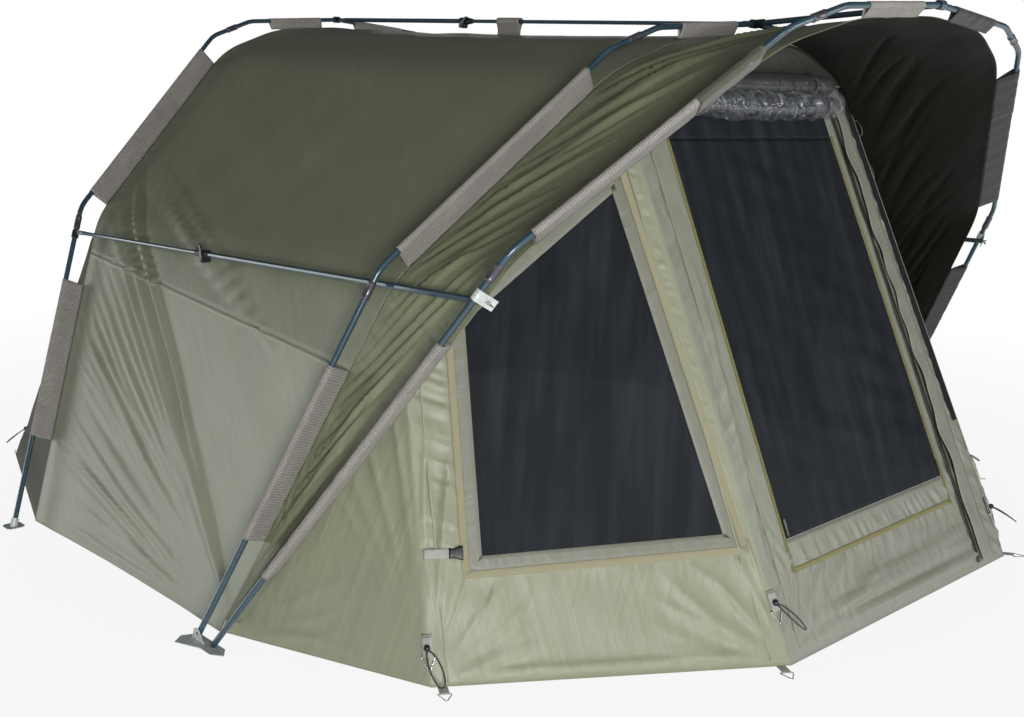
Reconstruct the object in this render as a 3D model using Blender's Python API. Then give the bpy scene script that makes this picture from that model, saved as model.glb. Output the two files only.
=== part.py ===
"""Bivvy tent: three bent pole hoops, a ridge bar, two side bars and a faceted shell.

The rear hoop stands on its own feet. The middle and front hoops share two foot brackets.
The canopy spans the rear and middle hoops, the peak spans the middle and front hoops, and
the front wall drops from the middle hoop to pegs. The door faces -Y, +X is on the right of
someone who faces the door, and +Z is up. Everything is placed from the middle hoop's feet, and the whole
is moved at the end so that its box is centred on the origin.
"""
import math

import bmesh
import bpy
import numpy as np
from mathutils import Matrix, Vector

# Poles
POLE_RADIUS = 0.008
POLE_SIDES = 10
BEND_RADIUS = 0.12
BEND_STEPS = 3
FIT_GAP = 0.0003

# Hoops: the rise of a point is measured along the leaning hoop's own plane
REAR_FOOT_Y = 1.086
REAR_LEAN = math.radians(17.1)
REAR_FOOT_HALF = 1.616
REAR_HIP_HALF = 1.211
REAR_HIP_RISE = 1.000
REAR_CROWN_RISE = 1.716
MIDDLE_FOOT_Y = 0.0
MIDDLE_LEAN = math.radians(-14.6)
MIDDLE_FOOT_HALF = 1.601
MIDDLE_HIP_HALF = 1.218
MIDDLE_HIP_RISE = 0.957
MIDDLE_CROWN_RISE = 1.608
FRONT_FOOT_Y = -0.060
FRONT_LEAN = math.radians(-29.6)
FRONT_FOOT_INSET = 0.010
FRONT_FOOT_HALF = MIDDLE_FOOT_HALF - FRONT_FOOT_INSET
FRONT_HIP_HALF = 1.164
FRONT_HIP_RISE = 1.152
FRONT_CROWN_RISE = 1.821

# The crown pole and the bends beside it are alike on the three hoops
CREST_HALF = 0.412
CREST_DROP = 0.033
BROW_REACH = 0.173
BROW_DROP = 0.066

# Ferrules at both ends of a shoulder pole
FERRULE_HALF = 0.023
FERRULE_RADIUS = 0.0104
FERRULE_BELOW_HIP = 0.058

# Fabric
FABRIC = 0.0016
SEAM_INSET = 0.062
CANOPY_SAG = 0.012
PEAK_SAG = 0.006
HEM_LIFT = 0.003
PEAK_HEM_LIFT = 0.034
CANOPY_COLUMNS = 8
PEAK_COLUMNS = 4
PANEL_ROWS = 4

# Sleeves: woven flaps sewn to the fabric and wrapped round the poles
SLEEVE_WALL = 0.0014
SLEEVE_TAIL = 0.0024
SLEEVE_SIDES = 10
TAIL_CLEAR = SLEEVE_TAIL / 2 + FIT_GAP
WALL_INSET = SEAM_INSET + FABRIC * 1.5
SLEEVE_ABOVE_FOOT = 0.29
FRONT_SLEEVE_ABOVE_FOOT = 0.24
SLEEVE_BELOW_HIP = 0.262
SLEEVE_ABOVE_HIP = 0.065
SLEEVE_BELOW_BROW = 0.085
CENTRE_SLEEVE_OUTER = 0.325
CENTRE_SLEEVE_INNER = 0.085

# Hem corners, where the walls are pegged
CORNER_A_INSET = 0.281
CORNER_A_HALF = MIDDLE_FOOT_HALF - CORNER_A_INSET
CORNER_B_HALF = 0.578
CORNER_B_Y = -1.044
CORNER_E_INSET = 0.286
CORNER_E_HALF = REAR_FOOT_HALF - CORNER_E_INSET
CORNER_E_Y = 1.840

# Openings as shares of a panel: across from its first hem corner, and up to its top
WINDOW_SHARES = ((0.180, 0.275), (0.913, 0.217), (0.869, 0.825), (0.237, 0.785))
DOOR_SHARES = ((0.109, 0.182), (0.824, 0.188), (0.846, 0.880), (0.130, 0.880))
MESH = 0.0014
MESH_GAP = 0.0006

# Rolled door panels under the middle hoop
ROLL_RADIUS = 0.033
ROLL_HALF = 0.40
ROLL_SIDES = 12
ROLL_STEP = 0.078
ROLL_BELOW_FOLD = 0.052
TIE_WIDTH = 0.020
TIE_WALL = 0.0020
TIE_FROM_END = 0.095

# Foot brackets and plates
PLATE = 0.002
BRACKET_OUTER = 0.046
BRACKET_INNER = 0.026
BRACKET_BACK = 0.045
BRACKET_FRONT = 0.125
BRACKET_TAPER = 0.030
WEB_HEIGHT = 0.034
WEB_BACK = 0.020
WEB_FRONT = 0.038
PIVOT_RISE = 0.017
PIVOT_RADIUS = 0.003
PIVOT_HEAD = 0.006
EYE_RADIUS = 0.0095
EYE_WIDTH = 0.007
EYE_ROOM = 0.0156
REAR_PLATE_HALF = 0.028
CUP_HEIGHT = 0.024
CUP_WALL = 0.003

# Telescopic bars: one along the ridge, one at each side
OUTER_RADIUS = 0.008
OUTER_WALL = 0.0010
INNER_RADIUS = 0.0062
BAR_SIDES = 10
BAR_OVERLAP = 0.26
CLIP_SHARE = 0.39
FITTING_REACH = 0.028
FITTING_HALF = 0.012
FITTING_WALL = 0.003
CROWN_PLAY = 0.0010
LUG = 0.004
LUG_HALF = 0.007
FORK_LENGTH = 0.030
FORK_HALF = 0.0072
PIN_RADIUS = 0.0025
PIN_HEAD = 0.0045
PIN_PLAY = 0.0004
SIDE_FITTING_BELOW_HIP = 0.100
FRONT_CLAMP_BELOW_HIP = 0.120

# Cam clips on the bars
CLIP_WALL = 0.004
CLIP_LENGTH = 0.036
CLIP_TAPER = 0.026
CAM_DROP = 0.0165
CAM_RADIUS = 0.008
CAM_PIN = 0.0024
LEVER_LENGTH = 0.044
LEVER_THICK = 0.005
LEVER_HOOK = 0.007
RIDGE_LEVER_ANGLE = math.radians(50)
SIDE_LEVER_ANGLE = math.radians(88)

# Crown fitting of the middle hoop, and the ridge's front stretch
EAR_REACH = 0.030
EAR = 0.0025
EAR_INNER = 0.0075
EAR_HALF = 0.008
TIP_PLAY = 0.0022
TIP_EYE_RADIUS = 0.0075
SOCKET_REACH = 0.034
SOCKET_WALL = 0.0030
LOOP_SHARE = 0.50
LOOP_HALF = 0.055

# Front clamps and their wing screws
CLAMP_WALL = 0.0020
CLAMP_HALF = 0.014
CLAMP_LEAF = 0.046
CLAMP_LEAN = math.radians(32)
BAR_FROM_POLE = 0.028
BAR_BEHIND_LEAF = 0.0014
SCREW_RADIUS = 0.003
SCREW_DEPTH = 0.004
SCREW_PLAY = 0.0022
HUB_RADIUS = 0.0055
HUB_HEIGHT = 0.006
WING_HALF = 0.012
WING_HEIGHT = 0.010
WING = 0.0028

# Pegging points
TAB_WIDTH = 0.026
TAB = 0.0022
TAB_LENGTH = 0.050
TAB_RISES = {"outer": 0.070, "inner": 0.135}
RING_WIRE = 0.003
RING_SIZE = 0.036
HEM_TAB_LENGTH = 0.030
TOGGLE_RADIUS = 0.0075
BUNGEE_RADIUS = 0.0016
BUNGEE_HALF_LENGTH = 0.030
BUNGEE_HALF_WIDTH = 0.013
BUNGEE_POINTS = 14

# Buckle half on its strap at the border of the left window
BUCKLE_SHARES = (0.085, 0.300)
BUCKLE_WIDTH = 0.026
BUCKLE_MOUTH = 0.034
BUCKLE_LENGTH = 0.034
BUCKLE_THICK = 0.009
STRAP_LENGTH = 0.060

# Zip sliders
SLIDER_WIDTH = 0.008
SLIDER_LENGTH = 0.015
SLIDER_THICK = 0.005
PULL_LENGTH = 0.028
PULL_WIDTH = 0.006

BARREL_SIDES = 12

MATERIALS = {
    "pole": ((0.045, 0.085, 0.105), 0.35, 0.6),
    "galvanised": ((0.42, 0.46, 0.44), 0.38, 0.9),
    "black_plastic": ((0.018, 0.019, 0.020), 0.45, 0.0),
    "roof_cloth": ((0.085, 0.100, 0.068), 0.72, 0.0),
    "flank_cloth": ((0.210, 0.215, 0.170), 0.70, 0.0),
    "front_cloth": ((0.330, 0.345, 0.220), 0.70, 0.0),
    "mesh_cloth": ((0.025, 0.028, 0.034), 0.80, 0.0),
    "clear_film": ((0.600, 0.630, 0.680), 0.15, 0.0),
    "webbing": ((0.400, 0.400, 0.340), 0.85, 0.0),
    "steel": ((0.550, 0.550, 0.540), 0.30, 1.0),
}

SIDES = (("left", -1), ("right", 1))


class Hoop:
    """One bent hoop in a leaning plane, given by the corners of its right half."""

    def __init__(self, foot_y, lean, foot_half, hip_half, hip_rise, crown_rise):
        self.foot_y = foot_y
        self.up = Vector((0, math.sin(lean), math.cos(lean)))
        self.back = Vector((0, math.cos(lean), -math.sin(lean)))
        crest_rise = crown_rise - CREST_DROP
        self.corners = [
            (foot_half, 0),
            (hip_half, hip_rise),
            (CREST_HALF + BROW_REACH, crest_rise - BROW_DROP),
            (CREST_HALF, crest_rise),
            (0, crown_rise),
        ]

    def place(self, corner, side):
        """World point of an in-plane (half width, rise) pair."""
        return Vector((side * corner[0], self.foot_y, 0)) + self.up * corner[1]

    def points(self, side):
        return [self.place(corner, side) for corner in self.corners]

    def leg(self, side):
        foot, hip = self.points(side)[:2]
        return (hip - foot).normalized()

    def seam(self, distance, hem, side):
        """World corners of the seam: the hoop moved inward, cut off at the hem height."""
        lines = []
        for start, end in zip(self.corners, self.corners[1:]):
            run = (Vector(end) - Vector(start)).normalized()
            lines.append((Vector(start) + Vector((-run.y, run.x)) * distance, run))
        foot, leg = lines[0]
        moved = [foot + leg * ((hem / self.up.z - foot.y) / leg.y)]
        moved += [crossing(one, other) for one, other in zip(lines, lines[1:])]
        crown, top = lines[-1]
        moved.append(crown + top * (-crown.x / top.x))
        return [self.place(corner, side) for corner in moved]


def crossing(one, other):
    """Where two flat lines, each a point and a direction, meet."""
    (p, u), (q, w) = one, other
    return p + u * (((q - p).x * w.y - (q - p).y * w.x) / (u.x * w.y - u.y * w.x))


REAR = Hoop(REAR_FOOT_Y, REAR_LEAN, REAR_FOOT_HALF, REAR_HIP_HALF, REAR_HIP_RISE,
            REAR_CROWN_RISE)
MIDDLE = Hoop(MIDDLE_FOOT_Y, MIDDLE_LEAN, MIDDLE_FOOT_HALF, MIDDLE_HIP_HALF,
              MIDDLE_HIP_RISE, MIDDLE_CROWN_RISE)
FRONT = Hoop(FRONT_FOOT_Y, FRONT_LEAN, FRONT_FOOT_HALF, FRONT_HIP_HALF, FRONT_HIP_RISE,
             FRONT_CROWN_RISE)


def frame(origin, along, near):
    """Axes at a point: the first runs along, the second is near made square to it."""
    x = Vector(along).normalized()
    y = (Vector(near) - x * Vector(near).dot(x)).normalized()
    matrix = Matrix((x, y, x.cross(y))).transposed().to_4x4()
    matrix.translation = origin
    return matrix


def clear(radius, sides=BARREL_SIDES):
    """Corner radius of a faceted bore whose flats stay a fit gap off a round bar."""
    return (radius + FIT_GAP) / math.cos(math.pi / sides)


def toward(start, end, distance):
    return start + (end - start).normalized() * distance


def rounded(points, radius=BEND_RADIUS, steps=BEND_STEPS):
    """A polyline whose inner corners are replaced by arcs."""
    path = [points[0]]
    for before, corner, after in zip(points, points[1:], points[2:]):
        into = (before - corner).normalized()
        out = (after - corner).normalized()
        half = into.angle(out) / 2
        reach = radius / math.tan(half)
        centre = corner + (into + out).normalized() * (radius / math.sin(half))
        first = corner + into * reach - centre
        last = corner + out * reach - centre
        path += [centre + first.slerp(last, step / steps).normalized() * radius
                 for step in range(steps + 1)]
    path.append(points[-1])
    return path


def arc(radius, first, last, steps):
    """Points of an arc about the frame's origin, angles in radians."""
    turns = [first + (last - first) * k / steps for k in range(steps + 1)]
    return [(radius * math.cos(t), radius * math.sin(t)) for t in turns]


def circle(radius, sides=BARREL_SIDES):
    return arc(radius, 0, 2 * math.pi * (sides - 1) / sides, sides - 1)


def box_outline(low, high, half):
    return [(low, -half), (high, -half), (high, half), (low, half)]


# Solids, each a list of points and a list of faces

def rings_solid(rings, closed=False):
    """Closed skin over equal rings of points, capped unless the rings meet end to end."""
    count = len(rings[0])
    verts = [point for ring in rings for point in ring]
    faces = []
    for row in range(len(rings) if closed else len(rings) - 1):
        a = row * count
        b = (row + 1) % len(rings) * count
        for k in range(count):
            n = (k + 1) % count
            faces.append((a + k, a + n, b + n, b + k))
    if not closed:
        faces.append(tuple(range(count)))
        faces.append(tuple(range(len(verts) - count, len(verts))))
    return verts, faces


def path_frames(path, closed=False):
    """Two cross axes at every point of a path, without twist along it."""
    count = len(path)
    directions = []
    for i in range(count):
        before = path[i - 1] if i or closed else path[0]
        after = path[(i + 1) % count] if i < count - 1 or closed else path[-1]
        directions.append((after - before).normalized())
    side = directions[0].orthogonal().normalized()
    frames = []
    for direction in directions:
        side = (side - direction * side.dot(direction)).normalized()
        frames.append((side, direction.cross(side)))
    return frames


def turned(path, radii, sides, closed=False):
    """Round rings of the given radii about the points of a path."""
    rings = []
    for point, radius, (p, q) in zip(path, radii, path_frames(path, closed)):
        rings.append([point + p * a + q * b for a, b in circle(radius, sides)])
    return rings


def rod(path, radius, sides=POLE_SIDES, closed=False):
    return rings_solid(turned(path, [radius] * len(path), sides, closed), closed)


def pipe(start, end, radius, bore, sides=BAR_SIDES):
    """A straight tube open at both ends."""
    wall = turned([start, end], [radius] * 2, sides)
    hollow = turned([start, end], [bore] * 2, sides)
    return rings_solid([hollow[1], wall[1], wall[0], hollow[0]], closed=True)


def prism(outline, axes, low, high):
    """An outline in the frame's first two axes, run from low to high along its third."""
    return rings_solid([[axes @ Vector((a, b, h)) for a, b in outline] for h in (low, high)])


def lathe(profile, axes, sides=BARREL_SIDES):
    """A turned piece: (radius, height) pairs about the frame's third axis."""
    return rings_solid([[axes @ Vector((a, b, h)) for a, b in circle(r, sides)]
                        for r, h in profile])


def ball(centre, radius):
    turns = [math.pi * (k + 1) / 6 for k in range(5)]
    profile = [(radius * math.sin(t), -radius * math.cos(t)) for t in turns]
    return lathe(profile, Matrix.Translation(centre), 8)


def ring_faces(outer, inner):
    """Quads between two loops of vertex numbers."""
    count = len(outer)
    return [(outer[k], outer[(k + 1) % count], inner[(k + 1) % count], inner[k])
            for k in range(count)]


def cloth(points, faces, outward, thickness=FABRIC):
    """A net of flat faces made into a sheet, its thickness mitred at the folds.

    outward(centre) is a direction that every face's front looks along.
    """
    points = [Vector(p) for p in points]
    turned_faces = []
    touching = [[] for _ in points]
    for face in faces:
        normal = Vector((0, 0, 0))
        loop = [points[k] for k in face]
        centre = sum(loop, Vector((0, 0, 0))) / len(loop)
        for a, b in zip(loop, loop[1:] + loop[:1]):
            normal += (a - centre).cross(b - centre)
        normal.normalize()
        if normal.dot(outward(centre)) < 0:
            normal = -normal
            face = tuple(reversed(face))
        turned_faces.append(tuple(face))
        for k in face:
            touching[k].append(normal)
    count = len(points)
    front, rear = [], []
    for point, normals in zip(points, touching):
        rows = np.array([tuple(n) for n in normals])
        shift = np.linalg.lstsq(rows, np.ones(len(rows)), rcond=0.02)[0]
        step = Vector(tuple(shift)) * (thickness / 2)
        front.append(point + step)
        rear.append(point - step)
    sheet = list(turned_faces) + [tuple(count + k for k in reversed(f)) for f in turned_faces]
    edges = {(a, b) for face in turned_faces for a, b in zip(face, face[1:] + face[:1])}
    sheet += [(b, a, count + a, count + b) for a, b in sorted(edges) if (b, a) not in edges]
    return front + rear, sheet


def mesh_from(shape, name="shape"):
    """A mesh with its faces pointing outward."""
    mesh = bpy.data.meshes.new(name)
    mesh.from_pydata([tuple(p) for p in shape[0]], [], [tuple(f) for f in shape[1]])
    builder = bmesh.new()
    builder.from_mesh(mesh)
    bmesh.ops.recalc_face_normals(builder, faces=builder.faces)
    builder.to_mesh(mesh)
    builder.free()
    return mesh


def boolean(base, tools, operation):
    """The base solid joined with, or cut by, each tool solid in turn."""
    body = bpy.data.objects.new("body", mesh_from(base))
    bpy.context.collection.objects.link(body)
    helpers = []
    for tool in tools:
        helper = bpy.data.objects.new("helper", mesh_from(tool))
        bpy.context.collection.objects.link(helper)
        modifier = body.modifiers.new(operation, "BOOLEAN")
        modifier.operation = operation
        modifier.solver = "EXACT"
        modifier.object = helper
        helpers.append(helper)
    evaluated = body.evaluated_get(bpy.context.evaluated_depsgraph_get())
    result = evaluated.to_mesh()
    verts = [vertex.co.copy() for vertex in result.vertices]
    faces = [tuple(polygon.vertices) for polygon in result.polygons]
    evaluated.to_mesh_clear()
    for helper in helpers + [body]:
        bpy.data.objects.remove(helper)
    return verts, faces


def joined(base, *tools):
    return boolean(base, tools, "UNION")


def cut(base, *tools):
    return boolean(base, tools, "DIFFERENCE")


def material(slot):
    made = bpy.data.materials.get(slot)
    if made is None:
        colour, roughness, metallic = MATERIALS[slot]
        made = bpy.data.materials.new(slot)
        made.use_nodes = True
        shader = made.node_tree.nodes["Principled BSDF"]
        shader.inputs["Base Color"].default_value = (*colour, 1.0)
        shader.inputs["Roughness"].default_value = roughness
        shader.inputs["Metallic"].default_value = metallic
    return made


def add(name, slot, shape, pivot=None, smooth=False):
    """Put a solid in the scene as a named object, its origin on its joint's axis."""
    mesh = mesh_from(shape, name)
    origin = Vector(pivot) if pivot is not None else Vector((0, 0, 0))
    mesh.transform(Matrix.Translation(-origin))
    mesh.materials.append(material(slot))
    if smooth:
        mesh.shade_smooth()
        mesh.set_sharp_from_angle(angle=math.radians(40))
    piece = bpy.data.objects.new(name, mesh)
    piece.location = origin
    bpy.context.collection.objects.link(piece)


# Poles

def swing_axis():
    """Point on the line through both bracket pins, about which the front frame swings."""
    return Vector((0, MIDDLE_FOOT_Y, PIVOT_RISE))


def joint_spots(hoop, side):
    """Middle of the ferrule below the hip and of the one between brow and crest."""
    foot, hip, brow, crest, _ = hoop.points(side)
    return toward(hip, foot, FERRULE_BELOW_HIP), (brow + crest) / 2


def shoulder_pole(hoop, side):
    """The bent section, with a socket for the leg below and for the crown pole above."""
    foot, hip, brow, crest, _ = hoop.points(side)
    low, high = joint_spots(hoop, side)
    path = rounded([low, hip, brow, high])
    bore = clear(POLE_RADIUS, POLE_SIDES)
    down = (foot - hip).normalized() * FERRULE_HALF
    over = (crest - brow).normalized() * FERRULE_HALF
    stations = [low, low + down, low + down, low - down, low - down]
    radii = [bore, bore, FERRULE_RADIUS, FERRULE_RADIUS, POLE_RADIUS]
    rings = []
    start = path_frames([low, hip])[0]
    for point, radius in zip(stations, radii):
        rings.append([point + start[0] * a + start[1] * b for a, b in circle(radius, POLE_SIDES)])
    frames = path_frames(path)
    for point, (p, q) in list(zip(path, frames))[1:-1]:
        rings.append([point + p * a + q * b for a, b in circle(POLE_RADIUS, POLE_SIDES)])
    p, q = frames[-1]
    stations = [high - over, high - over, high + over, high + over, high]
    for point, radius in zip(stations, radii[::-1]):
        rings.append([point + p * a + q * b for a, b in circle(radius, POLE_SIDES)])
    return rings_solid(rings)


def standing_pole(hoop, side, floor):
    """A leg cut level at a height, its top inside the ferrule."""
    direction = hoop.leg(side)
    foot = hoop.points(side)[0]
    low, _ = joint_spots(hoop, side)
    top = turned([low - direction * FIT_GAP, low], [POLE_RADIUS] * 2, POLE_SIDES)[0]
    bottom = [point - direction * ((point.z - floor) / direction.z) for point in top]
    return rings_solid([bottom, top])


def hinged_pole(hoop, side):
    """A leg with an eye at its foot that turns on the bracket's pin."""
    direction = hoop.leg(side)
    pivot = bracket_pin(side)
    low, _ = joint_spots(hoop, side)
    axes = frame(pivot, (0, 1, 0), (0, 0, 1))
    half = EYE_WIDTH / 2
    room = [lathe([(EYE_ROOM, s * half), (EYE_ROOM, s * EYE_ROOM * 2)], axes) for s in (-1, 1)]
    eye = prism(circle(EYE_RADIUS), axes, -half, half)
    bore = lathe([(PIVOT_RADIUS + PIN_PLAY, -EYE_ROOM), (PIVOT_RADIUS + PIN_PLAY, EYE_ROOM)], axes)
    leg = rod([pivot, low - direction * FIT_GAP], POLE_RADIUS)
    return cut(joined(cut(leg, *room), eye), bore)


def crown_pole(hoop):
    left, right = [hoop.points(side) for side in (-1, 1)]
    ends = [joint_spots(hoop, side)[1] for side in (-1, 1)]
    ends = [toward(end, points[3], FIT_GAP) for end, points in zip(ends, (left, right))]
    return rod(rounded([ends[0], left[3], left[4], right[3], ends[1]]), POLE_RADIUS)


def build_poles():
    axle = swing_axis()
    for side_name, side in SIDES:
        rear_floor = PLATE + FIT_GAP
        add(f"rear_{side_name}_leg_pole", "pole", standing_pole(REAR, side, rear_floor), smooth=True)
        add(f"middle_{side_name}_leg_pole", "pole", hinged_pole(MIDDLE, side), axle, smooth=True)
        add(f"front_{side_name}_leg_pole", "pole", standing_pole(FRONT, side, PLATE + FIT_GAP),
            axle, smooth=True)
        for name, hoop in (("rear", REAR), ("middle", MIDDLE), ("front", FRONT)):
            add(f"{name}_{side_name}_shoulder_pole", "pole", shoulder_pole(hoop, side),
                None if hoop is REAR else axle, smooth=True)
    for name, hoop in (("rear", REAR), ("middle", MIDDLE), ("front", FRONT)):
        add(f"{name}_crown_pole", "pole", crown_pole(hoop), None if hoop is REAR else axle,
            smooth=True)


# Sleeves and cloth loops

def flap(axes, tip, length):
    """A tube round the frame's third axis with a flat tail along its first, as one band."""
    bore = clear(POLE_RADIUS, SLEEVE_SIDES)
    outside = bore + SLEEVE_WALL
    half = math.asin(SLEEVE_TAIL / 2 / outside)
    steps = SLEEVE_SIDES
    outer = [(tip, SLEEVE_TAIL / 2)] + arc(outside, half, 2 * math.pi - half, steps)
    outer.append((tip, -SLEEVE_TAIL / 2))
    inner = [(bore, half * bore / 2)] + arc(bore, half, 2 * math.pi - half, steps)
    inner.append((bore, -half * bore / 2))
    rings = []
    for loop, h in ((outer, 0), (outer, length), (inner, length), (inner, 0)):
        rings.append([axes @ Vector((a, b, h)) for a, b in loop])
    return rings_solid(rings, closed=True)


def sleeve(hoop, start, end, tip):
    """A flap round a straight stretch of pole, its tail pointing into the hoop."""
    run = (end - start).normalized()
    inward = run.cross(hoop.back)
    if inward.dot(hoop.place((0, hoop.corners[1][1]), 1) - start) < 0:
        inward = -inward
    axes = frame(start, inward, run.cross(inward))
    return flap(axes, tip, (end - start).length)


def sleeves(hoop, above_foot, tip, sides):
    flaps = []
    for side in sides:
        foot, hip, brow, crest, crown = hoop.points(side)
        flaps.append(sleeve(hoop, toward(foot, hip, above_foot),
                            toward(hip, foot, SLEEVE_BELOW_HIP), tip))
        flaps.append(sleeve(hoop, toward(hip, brow, SLEEVE_ABOVE_HIP),
                            toward(brow, hip, SLEEVE_BELOW_BROW), tip))
        flaps.append(sleeve(hoop, toward(crown, crest, CENTRE_SLEEVE_OUTER),
                            toward(crown, crest, CENTRE_SLEEVE_INNER), tip))
    return flaps


# Canopy and peak

def spaced(stops, counts):
    """Points along a run of stops, each stretch divided into its own count."""
    line = [stops[0]]
    for start, end, count in zip(stops, stops[1:], counts):
        line += [start.lerp(end, (k + 1) / count) for k in range(count)]
    return line


def bay(hoops, edges, rim, columns, sag):
    """Cloth between two edge lines that stops short of both hoops' planes by a rim."""
    grid = []
    for a, b in zip(*edges):
        across = (b - a).normalized()
        stops = []
        for hoop in hoops:
            square = abs(across.dot(hoop.back))
            stops.append((rim + FABRIC / 2 * math.sqrt(1 - square * square)) / square)
        a = a + across * stops[0]
        b = b - across * stops[1]
        inward = Vector((-a.x - b.x, 0, -abs(a.z + b.z) / 2)).normalized()
        row = []
        for c in range(columns + 1):
            t = c / columns
            row.append(a.lerp(b, t) + inward * (sag * 4 * t * (1 - t)))
        grid.append(row)
    points = [point for row in grid for point in row]
    wide = columns + 1
    faces = [(r * wide + c, r * wide + c + 1, (r + 1) * wide + c + 1, (r + 1) * wide + c)
             for r in range(len(grid) - 1) for c in range(columns)]
    faces = [part for face in faces for part in ((face[0], face[1], face[2]),
                                                (face[0], face[2], face[3]))]
    return cloth(points, faces, lambda centre: Vector((centre.x, 0, centre.z)))


def build_canopy():
    """Two side walls that run from hem to crest, and the roof between the crests."""
    counts = [PANEL_ROWS, PANEL_ROWS, 1]
    bend = FABRIC / 2 + FIT_GAP
    for name, side in SIDES:
        edges = []
        for hoop in (REAR, MIDDLE):
            seam = hoop.seam(SEAM_INSET, HEM_LIFT, side)[:4]
            seam[3] = toward(seam[3], seam[2], bend)
            edges.append(spaced(seam, counts))
        add(f"canopy_{name}_wall", "flank_cloth",
            bay((REAR, MIDDLE), edges, TAIL_CLEAR, CANOPY_COLUMNS, CANOPY_SAG))
    edges = []
    for hoop in (REAR, MIDDLE):
        left = hoop.seam(SEAM_INSET, HEM_LIFT, -1)
        right = hoop.seam(SEAM_INSET, HEM_LIFT, 1)
        stops = [toward(left[3], left[4], bend), left[4], toward(right[3], left[4], bend)]
        edges.append(spaced(stops, [PANEL_ROWS] * 2))
    roof = bay((REAR, MIDDLE), edges, TAIL_CLEAR, CANOPY_COLUMNS, CANOPY_SAG)
    add("canopy_roof", "roof_cloth", joined(roof, ridge_loop()))


def build_peak():
    """The hood between the middle and front hoops, with the sleeves of both."""
    edges = []
    for hoop in (MIDDLE, FRONT):
        left = hoop.seam(SEAM_INSET, PEAK_HEM_LIFT, -1)
        right = hoop.seam(SEAM_INSET, PEAK_HEM_LIFT, 1)
        counts = [PANEL_ROWS, PANEL_ROWS, 1, 2]
        edges.append(spaced(left + right[-2::-1], counts + counts[::-1]))
    hood = bay((MIDDLE, FRONT), edges, SLEEVE_TAIL / 4, PEAK_COLUMNS, PEAK_SAG)
    tip = WALL_INSET - FABRIC / 2 - FIT_GAP
    flaps = sleeves(MIDDLE, SLEEVE_ABOVE_FOOT, tip, (-1, 1))
    flaps += sleeves(FRONT, FRONT_SLEEVE_ABOVE_FOOT, tip, (-1, 1))
    add("peak_hood", "flank_cloth", joined(hood, *flaps), swing_axis())


# Front and rear walls: flat panels that meet at folds

def plane_normal(points, look):
    normal = Vector((0, 0, 0))
    for a, b in zip(points, points[1:] + points[:1]):
        normal += (a - points[0]).cross(b - points[0])
    normal.normalize()
    return normal if normal.dot(look) > 0 else -normal


def shrink(outline, gaps):
    """A flat outline whose every edge is moved inward by its own gap."""
    outline = [Vector(p) for p in outline]
    pairs = list(zip(outline, outline[1:] + outline[:1]))
    turn = 1 if sum(a.x * b.y - a.y * b.x for a, b in pairs) > 0 else -1
    lines = []
    for (a, b), gap in zip(pairs, gaps):
        run = (b - a).normalized()
        lines.append((a + Vector((-run.y, run.x)) * gap * turn, run))
    return [crossing(one, other) for one, other in zip(lines[-1:] + lines[:-1], lines)]


class Panel:
    """A flat four-cornered wall panel in the frame of its own plane."""

    def __init__(self, points, look):
        self.points = points
        self.normal = plane_normal(points, look)
        self.axes = frame(points[0], points[1] - points[0],
                          self.normal.cross(points[1] - points[0]))
        self.local = self.axes.inverted()
        self.flat = [(self.local @ p).to_2d() for p in points]

    def world(self, flat, height=0):
        return self.axes @ Vector((flat[0], flat[1], height))

    def spot(self, shares):
        """In-plane point at a share across the first edge and up to the opposite one."""
        a, b, c, d = self.flat
        return a.lerp(b, shares[0]).lerp(d.lerp(c, shares[0]), shares[1])

    def drawn_back(self, gaps):
        return [self.world(p) for p in shrink(self.flat, gaps)]


def fold_gap(one, other):
    """How far two panels draw back from a shared fold so that their faces stay clear."""
    return FABRIC / 2 * math.tan(one.normal.angle(other.normal) / 2) + FIT_GAP


FRONT_LOOK = Vector((0, -1, 0))
REAR_LOOK = Vector((0, 1, 0))


def wall_seam(hoop, side):
    return hoop.seam(WALL_INSET, HEM_LIFT, side)


def hem(half, y, side):
    return Vector((side * half, y, HEM_LIFT))


def front_panels():
    """The two window panels and the door panel between them."""
    windows = {}
    for _, side in SIDES:
        seam = wall_seam(MIDDLE, side)
        inner = hem(CORNER_B_HALF, CORNER_B_Y, side)
        normal = plane_normal([inner, seam[2], seam[1]], FRONT_LOOK)
        outer = hem(CORNER_A_HALF, 0, side)
        outer.y = -normal.dot(outer - inner) / normal.y
        windows[side] = Panel([outer, inner, seam[2], seam[1]], FRONT_LOOK)
    brows = [wall_seam(MIDDLE, side)[2] for side in (-1, 1)]
    corners = [hem(CORNER_B_HALF, CORNER_B_Y, side) for side in (-1, 1)]
    return windows, Panel(corners + [brows[1], brows[0]], FRONT_LOOK)


def ringed(points, hole):
    """Points and ring faces of a four-cornered panel with a four-cornered hole."""
    return points + hole, ring_faces([0, 1, 2, 3], [4, 5, 6, 7])


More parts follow.
